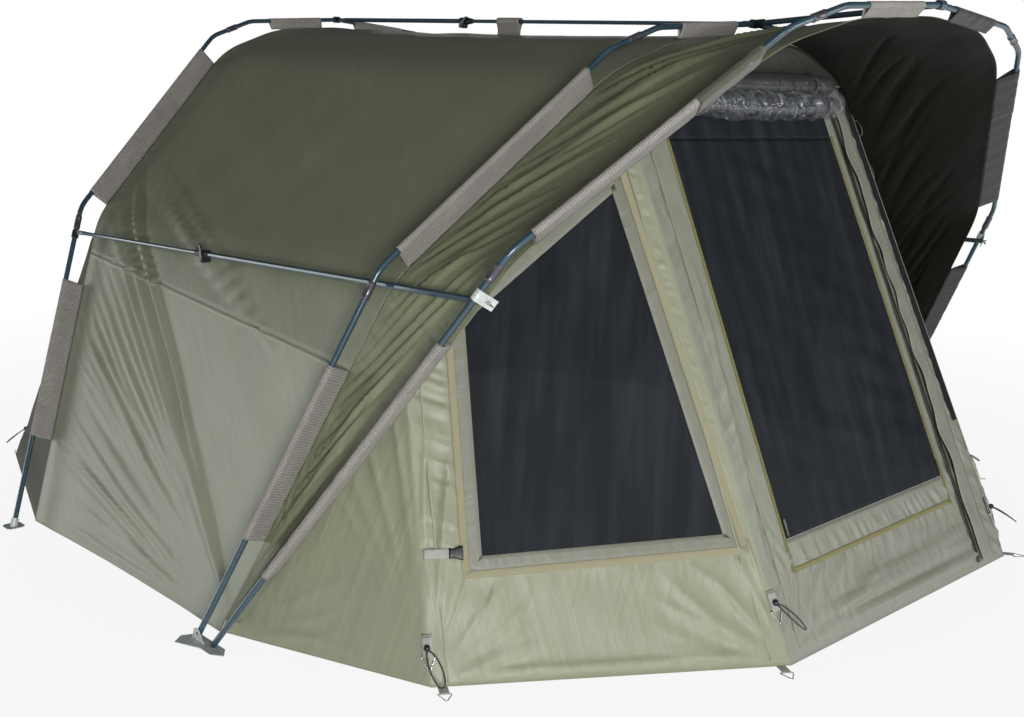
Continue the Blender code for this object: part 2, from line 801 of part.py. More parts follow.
def build_front_wall():
    windows, door = front_panels()
    gap = fold_gap(windows[-1], door)
    for name, side in SIDES:
        window = windows[side]
        hole = [window.spot(share) for share in WINDOW_SHARES]
        outline = window.drawn_back([0, gap, 0, 0])
        points, faces = ringed(outline, [window.world(p) for p in hole])
        points.append(wall_seam(MIDDLE, side)[0])
        faces.append((8, 0, 3))
        panel = cloth(points, faces, lambda centre: FRONT_LOOK)
        outward = Vector((window.normal.x, window.normal.y, 0))
        tabs = hem_tab(toward(window.points[0], window.points[1], TAB_WIDTH), outward)
        tabs += hem_tab(toward(window.points[1], window.points[0], TAB_WIDTH), outward)
        add(f"{name}_front_panel", "front_cloth", joined(panel, *tabs))
        pane = shrink(hole, [MESH_GAP] * 4)
        add(f"{name}_window_mesh", "mesh_cloth", prism(pane, window.axes, -MESH / 2, MESH / 2))
    hole = [door.spot(share) for share in DOOR_SHARES]
    outline = door.drawn_back([0, gap, 0, gap])
    points, faces = ringed(outline, [door.world(p) for p in hole])
    seams = [wall_seam(MIDDLE, side) for side in (-1, 1)]
    points += [seams[1][3], seams[0][4], seams[0][3]]
    faces.append((3, 2, 8, 9, 10))
    add("door_surround", "front_cloth", cloth(points, faces, lambda centre: FRONT_LOOK))
    build_door(door, hole)
    build_rolls(door)
    build_peg_points(windows, door)
    build_buckle(windows[-1])


def build_rear_wall():
    """Centre panel, shoulders, gussets and header in one, with the rear sleeves."""
    seams = {side: wall_seam(REAR, side) for side in (-1, 1)}
    corners = {side: hem(CORNER_E_HALF, CORNER_E_Y, side) for side in (-1, 1)}
    points = seams[-1] + [corners[-1]] + seams[1][:4] + [corners[1]]
    faces = [(0, 5, 1), (5, 2, 1), (6, 10, 7), (10, 8, 7), (5, 10, 8, 2), (2, 8, 9, 4, 3)]
    wall = cloth(points, faces, lambda centre: REAR_LOOK)
    tip = WALL_INSET + FABRIC / 4
    extras = sleeves(REAR, SLEEVE_ABOVE_FOOT, tip, (-1, 1))
    for side in (-1, 1):
        extras += hem_tab(toward(corners[side], corners[-side], TAB_WIDTH), REAR_LOOK)
    add("rear_wall", "flank_cloth", joined(wall, *extras))


# Door, zips and rolls

def build_door(door, hole):
    """The mesh door hangs from its top edge; each zip has a slider near its foot."""
    pane = shrink(hole, [MESH_GAP] * 4)
    hinge = door.world((pane[2] + pane[3]) / 2)
    add("door_mesh", "mesh_cloth", prism(pane, door.axes, -MESH / 2, MESH / 2), hinge)
    turn = door.axes.to_3x3()
    for name, low, high, inward in (("left", pane[0], pane[3], 1), ("right", pane[1], pane[2], -1)):
        run = (high - low).normalized()
        across = Vector((run.y, -run.x)) * inward
        middle = low + run * (SLIDER_LENGTH + PULL_LENGTH) + across * SLIDER_WIDTH
        axes = frame(door.world(middle, MESH / 2 + FIT_GAP), turn @ run.to_3d(),
                     turn @ Vector((-run.y, run.x, 0)))
        half = SLIDER_LENGTH / 2
        body = [(-half, -SLIDER_WIDTH / 2), (half, -SLIDER_WIDTH / 3),
                (half, SLIDER_WIDTH / 3), (-half, SLIDER_WIDTH / 2)]
        slider = prism(body, axes, 0, SLIDER_THICK)
        pull = prism(box_outline(-half - PULL_LENGTH, 0, PULL_WIDTH / 2), axes,
                     SLIDER_THICK * 0.6, SLIDER_THICK * 0.9)
        add(f"{name}_zip_slider", "galvanised", joined(slider, pull), axes.translation)


def build_rolls(door):
    """The rolled cloth door and, below it, the rolled clear panel, each with two ties."""
    down = -door.axes.col[1].to_3d()
    top = (door.points[2] + door.points[3]) / 2
    lift = door.normal * (FABRIC / 2 + TIE_WALL + FIT_GAP * 3 + ROLL_RADIUS)
    soft = ROLL_RADIUS / 3
    profile = [(ROLL_RADIUS - soft, 0), (ROLL_RADIUS, soft),
               (ROLL_RADIUS, 2 * ROLL_HALF - soft), (ROLL_RADIUS - soft, 2 * ROLL_HALF)]
    for name, slot, step in (("door_roll", "roof_cloth", 0), ("clear_roll", "clear_film", 1)):
        centre = top + down * (ROLL_BELOW_FOLD + ROLL_STEP * step) + lift
        axes = frame(centre - Vector((ROLL_HALF, 0, 0)), (0, 1, 0), (0, 0, 1))
        roll = lathe(profile, axes, ROLL_SIDES)
        bands = []
        for side in (-1, 1):
            low = ROLL_HALF + side * (ROLL_HALF - TIE_FROM_END) - TIE_WIDTH / 2
            outside = ROLL_RADIUS + TIE_WALL
            bands.append(lathe([(outside, low), (outside, low + TIE_WIDTH)], axes, ROLL_SIDES))
        add(name, slot, joined(roll, *bands), smooth=True)


# Pegging points at the hem corners

def triangle_ring(axes, top, low):
    """A wire triangle, point away from its tab, in the frame's first two axes."""
    outer = [Vector((top, -RING_SIZE / 2)), Vector((top, RING_SIZE / 2)),
             Vector((top - RING_SIZE, 0))]
    inner = shrink(outer, [RING_WIRE] * 3)
    rings = []
    for loop, h in ((outer, low), (outer, low + RING_WIRE), (inner, low + RING_WIRE), (inner, low)):
        rings.append([axes @ Vector((p.x, p.y, h)) for p in loop])
    return rings_solid(rings, closed=True)


def hem_tab(place, outward):
    """A tab that lies on the ground outside the hem, with its triangle ring."""
    out = outward.normalized()
    axes = frame(place + Vector((0, 0, TAB / 2)) - out * TAB, -out, (out.y, -out.x, 0))
    tab = prism(box_outline(-HEM_TAB_LENGTH, TAB * 2, TAB_WIDTH / 2), axes, -TAB / 2, TAB / 2)
    ring = triangle_ring(axes, -HEM_TAB_LENGTH + RING_WIRE, -RING_WIRE / 2)
    return [tab, ring]


def peg_point(low, high, one, other, rise):
    """A tab on a wall's fold with a ring, and an elastic loop held by a round toggle."""
    up = (high - low).normalized()
    out = (one.normal + other.normal).normalized()
    face = FABRIC / 2 / out.dot(one.normal) + FIT_GAP
    axes = frame(low + up * rise + out * face, up, out.cross(up))
    tab = prism(box_outline(0, TAB_LENGTH, TAB_WIDTH / 2), axes, 0, TAB)
    ring = triangle_ring(axes, RING_WIRE, 0)
    knob = Vector((TAB_LENGTH / 3, 0, TAB + TOGGLE_RADIUS * 0.8))
    path = []
    for k in range(BUNGEE_POINTS):
        t = 2 * math.pi * k / BUNGEE_POINTS
        along = knob.x - TOGGLE_RADIUS / 2 - BUNGEE_HALF_LENGTH * (1 - math.cos(t))
        aside = BUNGEE_HALF_WIDTH * math.sin(t)
        path.append(axes @ Vector((along, aside, knob.z)))
    loop = rod(path, BUNGEE_RADIUS, 6, closed=True)
    return joined(tab, ring, ball(axes @ knob, TOGGLE_RADIUS), loop)


def build_peg_points(windows, door):
    for name, side in SIDES:
        window = windows[side]
        gusset = Panel([wall_seam(MIDDLE, side)[0], window.points[0], window.points[3],
                        wall_seam(MIDDLE, side)[0].lerp(window.points[3], 0.5)], FRONT_LOOK)
        add(f"{name}_outer_peg_point", "webbing",
            peg_point(window.points[0], window.points[3], window, gusset, TAB_RISES["outer"]))
        add(f"{name}_inner_peg_point", "webbing",
            peg_point(window.points[1], window.points[2], window, door, TAB_RISES["inner"]))


def build_buckle(window):
    """The socket half of a side release buckle with its strap, on the window's border."""
    spot = window.spot(BUCKLE_SHARES)
    turn = window.axes.to_3x3()
    axes = frame(window.world(spot, FABRIC / 2 + FIT_GAP), turn @ Vector((1, 0, 0)),
                 turn @ Vector((0, 1, 0)))
    half = BUCKLE_WIDTH / 2
    mouth = BUCKLE_MOUTH / 2
    wall = BUCKLE_THICK / 4
    strap = prism(box_outline(-STRAP_LENGTH, BUCKLE_LENGTH / 5, half * 0.9), axes, wall / 2,
                  wall / 2 + TAB)
    waist = BUCKLE_LENGTH * 0.4
    outer = [(0, -half), (waist, -half * 0.8), (BUCKLE_LENGTH, -mouth),
             (BUCKLE_LENGTH, mouth), (waist, half * 0.8), (0, half)]
    socket = prism(outer, axes, 0, BUCKLE_THICK)
    hollow = prism(box_outline(BUCKLE_LENGTH / 3, BUCKLE_LENGTH * 2, half * 0.6), axes, wall,
                   BUCKLE_THICK - wall)
    add("buckle_socket", "black_plastic", cut(joined(socket, strap), hollow))


# Foot brackets

def bracket_pin(side):
    direction = MIDDLE.leg(side)
    return MIDDLE.points(side)[0] + direction * (PIVOT_RISE / direction.z)


def foot_bracket(side):
    """Ground plate with an upright web and the pin that the middle leg turns on."""
    pivot = bracket_pin(side)
    floor = Matrix.Translation((side * MIDDLE_FOOT_HALF, 0, 0)) @ Matrix.Diagonal((side, 1, 1, 1))
    waist = BRACKET_OUTER * 0.35
    outline = [(-BRACKET_INNER, BRACKET_BACK * 0.6), (waist, BRACKET_BACK),
               (BRACKET_OUTER, BRACKET_BACK * 0.5), (waist, -BRACKET_FRONT * 0.4),
               (waist, BRACKET_TAPER - BRACKET_FRONT), (-waist * 0.3, -BRACKET_FRONT),
               (-BRACKET_INNER, BRACKET_TAPER - BRACKET_FRONT)]
    base = prism(outline, floor, 0, PLATE)
    web_face = side * (EYE_WIDTH / 2 + FIT_GAP)
    web_axes = frame((pivot.x + web_face, 0, PLATE / 2), (0, 1, 0), (0, 0, 1))
    web = prism([(-WEB_FRONT, 0), (WEB_BACK, 0), (WEB_BACK * 0.5, WEB_HEIGHT * 0.8),
                 (-WEB_FRONT * 0.2, WEB_HEIGHT)], web_axes, 0, side * PLATE)
    axes = frame(pivot, (0, 1, 0), (0, 0, 1))
    head = side * (EYE_WIDTH / 2 + FIT_GAP)
    pin = lathe([(PIVOT_RADIUS, head + side * PLATE / 2), (PIVOT_RADIUS, -head),
                 (PIVOT_HEAD, -head), (PIVOT_HEAD, -head - side * PLATE)], axes)
    return joined(base, web, pin)


def rear_foot(side):
    """Flat plate with a cup that the rear leg stands in."""
    foot = REAR.points(side)[0]
    direction = REAR.leg(side)
    half = REAR_PLATE_HALF
    corner = half * 0.65
    outline = [(-half, -corner), (-corner, -half), (corner, -half), (half, -corner),
               (half, corner), (corner, half), (-corner, half), (-half, corner)]
    base = prism(outline, Matrix.Translation((foot.x, foot.y, 0)), 0, PLATE)
    bore = clear(POLE_RADIUS, POLE_SIDES)
    top = turned([foot + direction * CUP_HEIGHT, foot + direction * CUP_HEIGHT * 2],
                 [bore + CUP_WALL] * 2, POLE_SIDES)[0]
    cup = [[point - direction * ((point.z - PLATE / 2) / direction.z) for point in top], top]
    high = turned([foot + direction * CUP_HEIGHT * 2, foot + direction * CUP_HEIGHT * 3],
                  [bore] * 2, POLE_SIDES)[0]
    well = [[point - direction * ((point.z - PLATE) / direction.z) for point in high], high]
    return cut(joined(base, rings_solid(cup)), rings_solid(well))


def build_feet():
    for name, side in SIDES:
        add(f"{name}_foot_bracket", "galvanised", foot_bracket(side))
        add(f"{name}_rear_foot", "galvanised", rear_foot(side))


# Telescopic bars

class Bar:
    """A bar from a pivot beside the rear hoop to a tip near a front hoop."""

    def __init__(self, pole_point, pole_axis, tip, play=0):
        self.play = play
        self.pole_point = pole_point
        self.pole_axis = pole_axis
        run = tip - pole_point
        self.pivot = toward(pole_point, pole_point + run - pole_axis * run.dot(pole_axis),
                            FITTING_REACH)
        self.tip = tip
        self.along = (tip - self.pivot).normalized()
        self.level = self.along.cross(Vector((0, 0, 1))).normalized()
        self.up = self.level.cross(self.along)
        self.length = (tip - self.pivot).length

    def at(self, distance):
        return self.pivot + self.along * distance

    def fitting(self):
        """Band round the rear pole, with a lug and the pin that carries the bar's fork."""
        bore = clear(POLE_RADIUS + self.play)
        half = self.pole_axis * FITTING_HALF
        band = pipe(self.pole_point - half, self.pole_point + half, bore + FITTING_WALL, bore,
                    BARREL_SIDES)
        axes = frame(self.pivot, self.along, self.up)
        root = -FITTING_REACH + bore + FITTING_WALL / 2
        line = [(root, -LUG_HALF)] + arc(LUG_HALF, -math.pi / 2, math.pi / 2, 6) + [(root, LUG_HALF)]
        lug = prism(line, axes, -LUG / 2, LUG / 2)
        reach = FORK_HALF + PIN_PLAY
        pin = lathe([(PIN_HEAD, -reach - PLATE / 2), (PIN_HEAD, -reach), (PIN_RADIUS, -reach),
                     (PIN_RADIUS, reach), (PIN_HEAD, reach), (PIN_HEAD, reach + PLATE / 2)], axes)
        return joined(band, lug, pin)

    def fork(self, tube, radius):
        """A tube with a forked plug at its rear end that straddles the lug."""
        axes = frame(self.pivot, self.along, self.up)
        body = prism(box_outline(-FORK_HALF, FORK_LENGTH, FORK_HALF * 0.8), axes, -FORK_HALF,
                     FORK_HALF)
        shank = rod([self.at(FORK_LENGTH * 0.8), self.at(FORK_LENGTH * 2)], radius, BAR_SIDES)
        slot_half = LUG / 2 + PIN_PLAY
        slot = prism(box_outline(-FORK_LENGTH, LUG_HALF + FITTING_WALL, FORK_LENGTH), axes,
                     -slot_half, slot_half)
        hole = lathe([(PIN_RADIUS + PIN_PLAY, -FORK_LENGTH), (PIN_RADIUS + PIN_PLAY, FORK_LENGTH)],
                     axes)
        return joined(tube, cut(joined(body, shank), slot, hole))

    def clip(self, facing, lever_side, angle):
        """Cam clip on the end of the outer tube and its lever, with the lever's pivot.

        facing is +1 when the outer tube lies behind the clip and the nose points forward.
        """
        front = self.along * facing
        back = self.at(self.length * CLIP_SHARE) - front * CLIP_LENGTH
        axes = frame(back, self.up, front.cross(self.up))
        bore = clear(OUTER_RADIUS)
        outside = bore + CLIP_WALL
        nose = CLIP_LENGTH + CLIP_TAPER
        shell = lathe([(outside, 0), (outside, CLIP_LENGTH), (clear(INNER_RADIUS) + CLIP_WALL / 2,
                                                             nose)], axes)
        pin = back + front * (CLIP_LENGTH * 0.45) - self.up * CAM_DROP
        across = self.level * lever_side
        pin_axes = frame(pin, front, across.cross(front))
        lug = prism([(-CAM_RADIUS, 0), (CAM_RADIUS, 0)] + [(CAM_RADIUS, CAM_DROP),
                    (-CAM_RADIUS, CAM_DROP)], frame(pin, front, self.up), -outside, outside)
        knuckle = prism(circle(CAM_RADIUS), pin_axes, -outside, outside)
        start = outside + PIN_PLAY
        end = start + LEVER_THICK + PIN_PLAY
        rivet = lathe([(CAM_PIN, 0), (CAM_PIN, end), (PIN_HEAD, end), (PIN_HEAD, end + PLATE / 2)],
                      pin_axes)
        well = lathe([(bore, -CLIP_LENGTH), (bore, CLIP_LENGTH + FIT_GAP)], axes)
        throat = lathe([(clear(INNER_RADIUS), 0), (clear(INNER_RADIUS), nose * 2)], axes)
        body = joined(cut(joined(shell, lug, knuckle), well, throat), rivet)
        tilt = frame(pin, front, self.up) @ Matrix.Rotation(angle, 4, "Z")
        sign = 1 if tilt.col[2].to_3d().dot(across) > 0 else -1
        line = arc(CAM_RADIUS, math.pi / 2, 3 * math.pi / 2, 6)
        line += [(LEVER_LENGTH * 0.8, -CAM_RADIUS * 0.35),
                 (LEVER_LENGTH, -CAM_RADIUS * 0.35 - LEVER_HOOK),
                 (LEVER_LENGTH * 1.04, -CAM_RADIUS * 0.2 - LEVER_HOOK * 0.6),
                 (LEVER_LENGTH * 0.86, CAM_RADIUS * 0.45)]
        arm = prism(line, tilt, sign * start, sign * (start + LEVER_THICK))
        hole = lathe([(CAM_PIN + PIN_PLAY, -end * 2), (CAM_PIN + PIN_PLAY, end * 2)], pin_axes)
        return body, cut(arm, hole), pin


def leaf_back():
    """Distance from the front pole's axis to the back of the clamp's leaf."""
    return clear(POLE_RADIUS) - FIT_GAP


def ridge_bar():
    rear = REAR.points(1)[4]
    front = MIDDLE.points(1)[4]
    return Bar(rear, Vector((1, 0, 0)), toward(front, rear, EAR_REACH), CROWN_PLAY)


def clamp_axes(side):
    """Frame at the front pole: first axis along the clamp's leaf, third out of its face."""
    foot, hip = FRONT.points(side)[:2]
    leg = FRONT.leg(side)
    at = toward(hip, foot, FRONT_CLAMP_BELOW_HIP)
    inward = FRONT.back.cross(leg) * -side
    leaf = inward * math.cos(CLAMP_LEAN) - FRONT.back * math.sin(CLAMP_LEAN)
    return frame(at, leaf, leg * side)


def side_bar(side):
    foot, hip = REAR.points(side)[:2]
    axes = clamp_axes(side)
    face = clamp_face(side)
    tip = axes @ Vector((BAR_FROM_POLE, 0, face * (leaf_back() - BAR_BEHIND_LEAF)))
    return Bar(toward(hip, foot, SIDE_FITTING_BELOW_HIP), REAR.leg(side), tip)


def clamp_face(side):
    """+1 or -1: which way along the clamp frame's third axis the leaf faces outdoors."""
    return 1 if clamp_axes(side).col[2].to_3d().dot(FRONT.back) < 0 else -1


def ridge_loop():
    """Cloth loop that ties the roof to the ridge bar."""
    bar = ridge_bar()
    middle = bar.at(bar.length * LOOP_SHARE)
    axes = frame(middle - bar.along * LOOP_HALF, -bar.up, bar.along.cross(-bar.up))
    return flap(axes, SEAM_INSET + CANOPY_SAG - FITTING_WALL, 2 * LOOP_HALF)


def build_ridge():
    bar = ridge_bar()
    axle = swing_axis()
    end = bar.length * CLIP_SHARE
    add("ridge_rear_fitting", "galvanised", bar.fitting())
    outer = pipe(bar.at(FORK_LENGTH * 0.9), bar.at(end), OUTER_RADIUS, OUTER_RADIUS - OUTER_WALL)
    add("ridge_outer_tube", "pole", bar.fork(outer, OUTER_RADIUS - OUTER_WALL / 2), bar.pivot,
        smooth=True)
    body, lever, pin = bar.clip(1, -1 if bar.level.x > 0 else 1, RIDGE_LEVER_ANGLE)
    add("ridge_clip", "black_plastic", body, bar.pivot)
    add("ridge_lever", "black_plastic", lever, pin)
    add("ridge_inner_tube", "pole", ridge_inner(bar, end), bar.pivot, smooth=True)
    add("middle_crown_fitting", "black_plastic", crown_fitting(bar), axle)
    add("ridge_front_tube", "pole", front_tube(), axle, smooth=True)


def ridge_inner(bar, end):
    """Inner tube with a flat eye at its front end that hangs on the crown fitting's pin."""
    axes = frame(bar.tip, bar.along, bar.up)
    tube = rod([bar.at(end - BAR_OVERLAP), bar.tip - bar.along * (TIP_EYE_RADIUS / 2)], INNER_RADIUS,
               BAR_SIDES)
    half = EAR_INNER - PIN_PLAY * 2
    eye = prism(circle(TIP_EYE_RADIUS), axes, -half, half)
    bore = PIN_RADIUS + TIP_PLAY
    return cut(joined(tube, eye), lathe([(bore, -EAR_HALF * 2), (bore, EAR_HALF * 2)], axes))


def crown_fitting(bar):
    """Block on the middle crown: band, rear ears with their pin, and the front socket."""
    crown = MIDDLE.points(1)[4]
    bore = clear(POLE_RADIUS + CROWN_PLAY)
    half = Vector((FITTING_HALF, 0, 0))
    shell = lathe([(bore + FITTING_WALL, -FITTING_HALF), (bore + FITTING_WALL, FITTING_HALF)],
                  frame(crown, (0, 1, 0), (0, 0, 1)))
    axes = frame(bar.tip, bar.along, bar.up)
    ears = []
    root = EAR_REACH - bore - FITTING_WALL / 2
    line = [(root, EAR_HALF)] + arc(EAR_HALF, math.pi / 2, 3 * math.pi / 2, 6) + [(root, -EAR_HALF)]
    for side in (-1, 1):
        ears.append(prism(line, axes, side * EAR_INNER, side * (EAR_INNER + EAR)))
    pin_half = EAR_INNER + EAR / 2
    pin = lathe([(PIN_RADIUS, -pin_half), (PIN_RADIUS, pin_half)], axes)
    forward = (FRONT.points(1)[4] - crown).normalized()
    bore_front = clear(OUTER_RADIUS, BAR_SIDES)
    boss = rod([crown, crown + forward * SOCKET_REACH], bore_front + SOCKET_WALL, BAR_SIDES)
    well = rod([crown + forward * (bore + FITTING_WALL), crown + forward * SOCKET_REACH * 2],
               bore_front, BAR_SIDES)
    through = rod([crown - half * 2, crown + half * 2], bore, BARREL_SIDES)
    return joined(cut(joined(shell, boss), well, through), *ears, pin)


def front_tube():
    """Ridge stretch from the middle crown's socket to a saddle on the front crown pole."""
    start, end = MIDDLE.points(1)[4], FRONT.points(1)[4]
    forward = (end - start).normalized()
    bore = clear(POLE_RADIUS + CROWN_PLAY)
    tube = rod([start + forward * (bore + FITTING_WALL + FIT_GAP), end], OUTER_RADIUS, BAR_SIDES)
    axes = frame(end, (0, 1, 0), (0, 0, 1))
    shell = lathe([(bore + FITTING_WALL, -FITTING_HALF), (bore + FITTING_WALL, FITTING_HALF)], axes)
    hole = lathe([(bore, -FITTING_HALF * 2), (bore, FITTING_HALF * 2)], axes)
    return cut(joined(tube, shell), hole)


def clamp(side):
    """Strap bent round the front pole with a flat leaf that takes the wing screw."""
    axes = clamp_axes(side)
    face = clamp_face(side)
    leg_axes = frame(axes.translation, axes.col[0].to_3d(), axes.col[2].to_3d())
    bore = clear(POLE_RADIUS)
    band = lathe([(bore + CLAMP_WALL, -CLAMP_HALF), (bore + CLAMP_WALL, CLAMP_HALF)], leg_axes)
    leaf = prism(box_outline(0, CLAMP_LEAF, CLAMP_HALF), axes, face * leaf_back(),
                 face * (leaf_back() + CLAMP_WALL))
    hole = lathe([(bore, -CLAMP_HALF * 2), (bore, CLAMP_HALF * 2)], leg_axes)
    screw = axes @ Matrix.Translation((BAR_FROM_POLE, 0, 0))
    tapped = lathe([(SCREW_RADIUS + PIN_PLAY, -CLAMP_LEAF), (SCREW_RADIUS + PIN_PLAY, CLAMP_LEAF)],
                   screw)
    return cut(joined(band, leaf), hole, tapped)


def wing_screw(side):
    """Screw through the leaf into the bar's end, with two wings on its hub."""
    axes = clamp_axes(side)
    face = clamp_face(side)
    at = axes @ Matrix.Translation((BAR_FROM_POLE, 0, 0))
    outer = leaf_back() + CLAMP_WALL + PIN_PLAY
    inner = leaf_back() - BAR_BEHIND_LEAF - SCREW_DEPTH
    stem = lathe([(SCREW_RADIUS, face * inner), (SCREW_RADIUS, face * outer),
                  (HUB_RADIUS, face * outer), (HUB_RADIUS * 0.8, face * (outer + HUB_HEIGHT))], at)
    top = outer + HUB_HEIGHT * 0.3
    line = [(-WING_HALF, top + WING_HEIGHT), (-WING_HALF * 0.4, top), (WING_HALF * 0.4, top),
            (WING_HALF, top + WING_HEIGHT), (WING_HALF * 0.6, top + WING_HEIGHT * 1.1),
            (0, top + HUB_HEIGHT * 0.5), (-WING_HALF * 0.6, top + WING_HEIGHT * 1.1)]
    wing_axes = frame(at.translation, at.col[0].to_3d(), at.col[2].to_3d())
    wings = prism([(a, face * b) for a, b in line], wing_axes, -WING / 2, WING / 2)
    pivot = at @ Vector((0, 0, face * outer))
    return joined(stem, wings), pivot


def build_side_bars():
    axle = swing_axis()
    for name, side in SIDES:
        bar = side_bar(side)
        start = bar.length * CLIP_SHARE
        add(f"{name}_bar_fitting", "galvanised", bar.fitting())
        tube = rod([bar.at(FORK_LENGTH * 0.9), bar.at(start + BAR_OVERLAP)], INNER_RADIUS, BAR_SIDES)
        add(f"{name}_bar_inner", "pole", bar.fork(tube, INNER_RADIUS * 0.9), bar.pivot, smooth=True)
        add(f"{name}_bar_outer", "pole", bar_outer(bar, side, start), bar.pivot, smooth=True)
        lever_side = 1 if bar.level.x * side > 0 else -1
        body, lever, pin = bar.clip(-1, lever_side, SIDE_LEVER_ANGLE)
        add(f"{name}_bar_clip", "black_plastic", body, bar.pivot)
        add(f"{name}_bar_lever", "black_plastic", lever, pin)
        add(f"{name}_clamp", "galvanised", clamp(side), axle)
        screw, pivot = wing_screw(side)
        add(f"{name}_wing_screw", "steel", screw, pivot)


def bar_outer(bar, side, start):
    """Outer tube: hollow round the inner one, solid and cut level with the leaf in front."""
    axes = clamp_axes(side)
    face = clamp_face(side)
    beyond = bar.tip + bar.along * FORK_LENGTH
    tube = rod([bar.at(start), beyond], OUTER_RADIUS, BAR_SIDES)
    bore = OUTER_RADIUS - OUTER_WALL
    well = rod([bar.at(start - FORK_LENGTH), bar.tip - bar.along * FORK_LENGTH], bore, BAR_SIDES)
    flat = leaf_back() - BAR_BEHIND_LEAF
    trim = prism(box_outline(-CLAMP_LEAF, CLAMP_LEAF * 2, CLAMP_LEAF), axes, face * flat,
                 face * CLAMP_LEAF * 2)
    screw = axes @ Matrix.Translation((BAR_FROM_POLE, 0, 0))
    hole_radius = SCREW_RADIUS + SCREW_PLAY
    hole = lathe([(hole_radius, face * (flat - SCREW_DEPTH - SCREW_PLAY)),
                  (hole_radius, face * CLAMP_LEAF)], screw)
    return cut(tube, well, trim, hole)


def clear_scene():
    for piece in list(bpy.data.objects):
        bpy.data.objects.remove(piece)


def centre_over_origin():
    """Move every piece along Y so that the whole part's box is centred on the origin."""
    pieces = list(bpy.data.objects)
    depths = [(piece.location + vertex.co).y for piece in pieces for vertex in piece.data.vertices]
    shift = -(min(depths) + max(depths)) / 2
    for piece in pieces:
        piece.location.y += shift


def main():
    clear_scene()
    build_poles()
    build_canopy()
    build_peak()
    build_rear_wall()
    build_front_wall()
    build_feet()
    build_ridge()
    build_side_bars()
    centre_over_origin()


main()
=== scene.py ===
"""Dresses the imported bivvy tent: proofed cloth, poles, mesh, tapes, rolls and fittings.

Laid out as a Blender add-on and run as a script. Each piece is a surface worked out with numpy
from the same driving sizes as the part, in metres, with the door facing -Y and +Z up.
"""
import math

import bmesh
import bpy
import numpy as np
from bpy.props import FloatProperty, FloatVectorProperty, IntProperty, PointerProperty
from mathutils import Matrix


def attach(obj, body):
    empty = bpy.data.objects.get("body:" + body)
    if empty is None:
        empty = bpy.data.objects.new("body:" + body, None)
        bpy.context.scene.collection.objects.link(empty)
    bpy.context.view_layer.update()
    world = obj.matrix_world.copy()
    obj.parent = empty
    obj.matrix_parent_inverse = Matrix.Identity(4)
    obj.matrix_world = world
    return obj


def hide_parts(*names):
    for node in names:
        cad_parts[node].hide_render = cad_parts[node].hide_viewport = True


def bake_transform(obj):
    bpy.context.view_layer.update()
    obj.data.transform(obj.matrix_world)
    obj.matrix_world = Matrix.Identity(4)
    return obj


bl_info = {
    "name": "Bivvy tent finisher",
    "version": (1, 0, 0),
    "blender": (4, 5, 0),
    "location": "3D View > Sidebar > Bivvy",
    "description": "Adds the cloth, poles, mesh, tapes and fittings of a three hoop bivvy tent",
    "category": "Object",
}

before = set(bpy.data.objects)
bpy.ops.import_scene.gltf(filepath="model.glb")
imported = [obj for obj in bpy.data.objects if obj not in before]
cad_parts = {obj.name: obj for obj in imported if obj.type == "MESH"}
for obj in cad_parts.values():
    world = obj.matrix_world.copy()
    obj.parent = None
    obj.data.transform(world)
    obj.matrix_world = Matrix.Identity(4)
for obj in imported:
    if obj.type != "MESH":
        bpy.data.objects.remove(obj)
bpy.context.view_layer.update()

# Sizes of the frame and shell, the same as the part's own driving sizes
FOOT_LINE_Y = -0.40976
POLE_RADIUS = 0.008
BEND_RADIUS = 0.12
FERRULE_HALF = 0.023
FERRULE_RADIUS = 0.0104
FERRULE_BELOW_HIP = 0.058
CREST_HALF = 0.412
CREST_DROP = 0.033
BROW_REACH = 0.173
BROW_DROP = 0.066
SEAM_INSET = 0.062
WALL_INSET = 0.0644
CROWN_INSET = 0.030
HEM_LIFT = 0.003
PEAK_HEM_LIFT = 0.034
TAIL_TURN = math.radians(15)
CORNER_A_HALF = 1.320
CORNER_B_HALF = 0.578
CORNER_B_Y = -1.044 + FOOT_LINE_Y
CORNER_E_HALF = 1.330
CORNER_E_Y = 1.840 + FOOT_LINE_Y
WINDOW_SHARES = ((0.180, 0.275), (0.913, 0.217), (0.869, 0.825), (0.237, 0.785))
DOOR_SHARES = ((0.109, 0.182), (0.824, 0.188), (0.846, 0.880), (0.130, 0.880))
DOOR_NET_TOP = 0.935
REAR_CORNER_IN = 0.028
SLEEVE_BELOW_HIP = 0.262
SLEEVE_ABOVE_HIP = 0.065
SLEEVE_BELOW_BROW = 0.085
CENTRE_SLEEVE_OUTER = 0.325
CENTRE_SLEEVE_INNER = 0.085
ROLL_RADIUS = 0.033
ROLL_HALF = 0.40
ROLL_STEP = 0.070
ROLL_BELOW_FOLD = 0.030
TIE_FROM_END = 0.095
BORDER = 0.036
REAR_SEAM_SHARE = 0.868
MIDDLE_SEAM_SHARE = 0.745
SLEEVE_WALL = 0.0009
SLEEVE_EASE = 0.0016
SLEEVE_ABOVE_FOOT = {"rear": 0.29, "middle": 0.29, "front": 0.24}
FOOT_GAP = {"rear": 0.004, "middle": 0.018, "front": 0.004}
POLE_STEP = 0.02
NET_WALL = 0.0004
EDGE_FADE = 0.03
LOOP_RADIUS = 0.013
LOOP_HALF = 0.055
ZIP_FROM_HOLE = 0.006
SILL_FROM_HOLE = 0.075
SILL_ZIP_DROP = 0.072
ROLL_SAG = 0.006
TIE_WIDTH = 0.014
FOLD_TAB = 0.050
HEM_TAB = 0.034
TAB_WIDTH = 0.024
RING_SIZE = 0.036
CORD_RADIUS = 0.0018

# Corner shares over which the left side's folds give way to the right side's
CROWN_FROM = 3.2
CROWN_OVER = 1.6

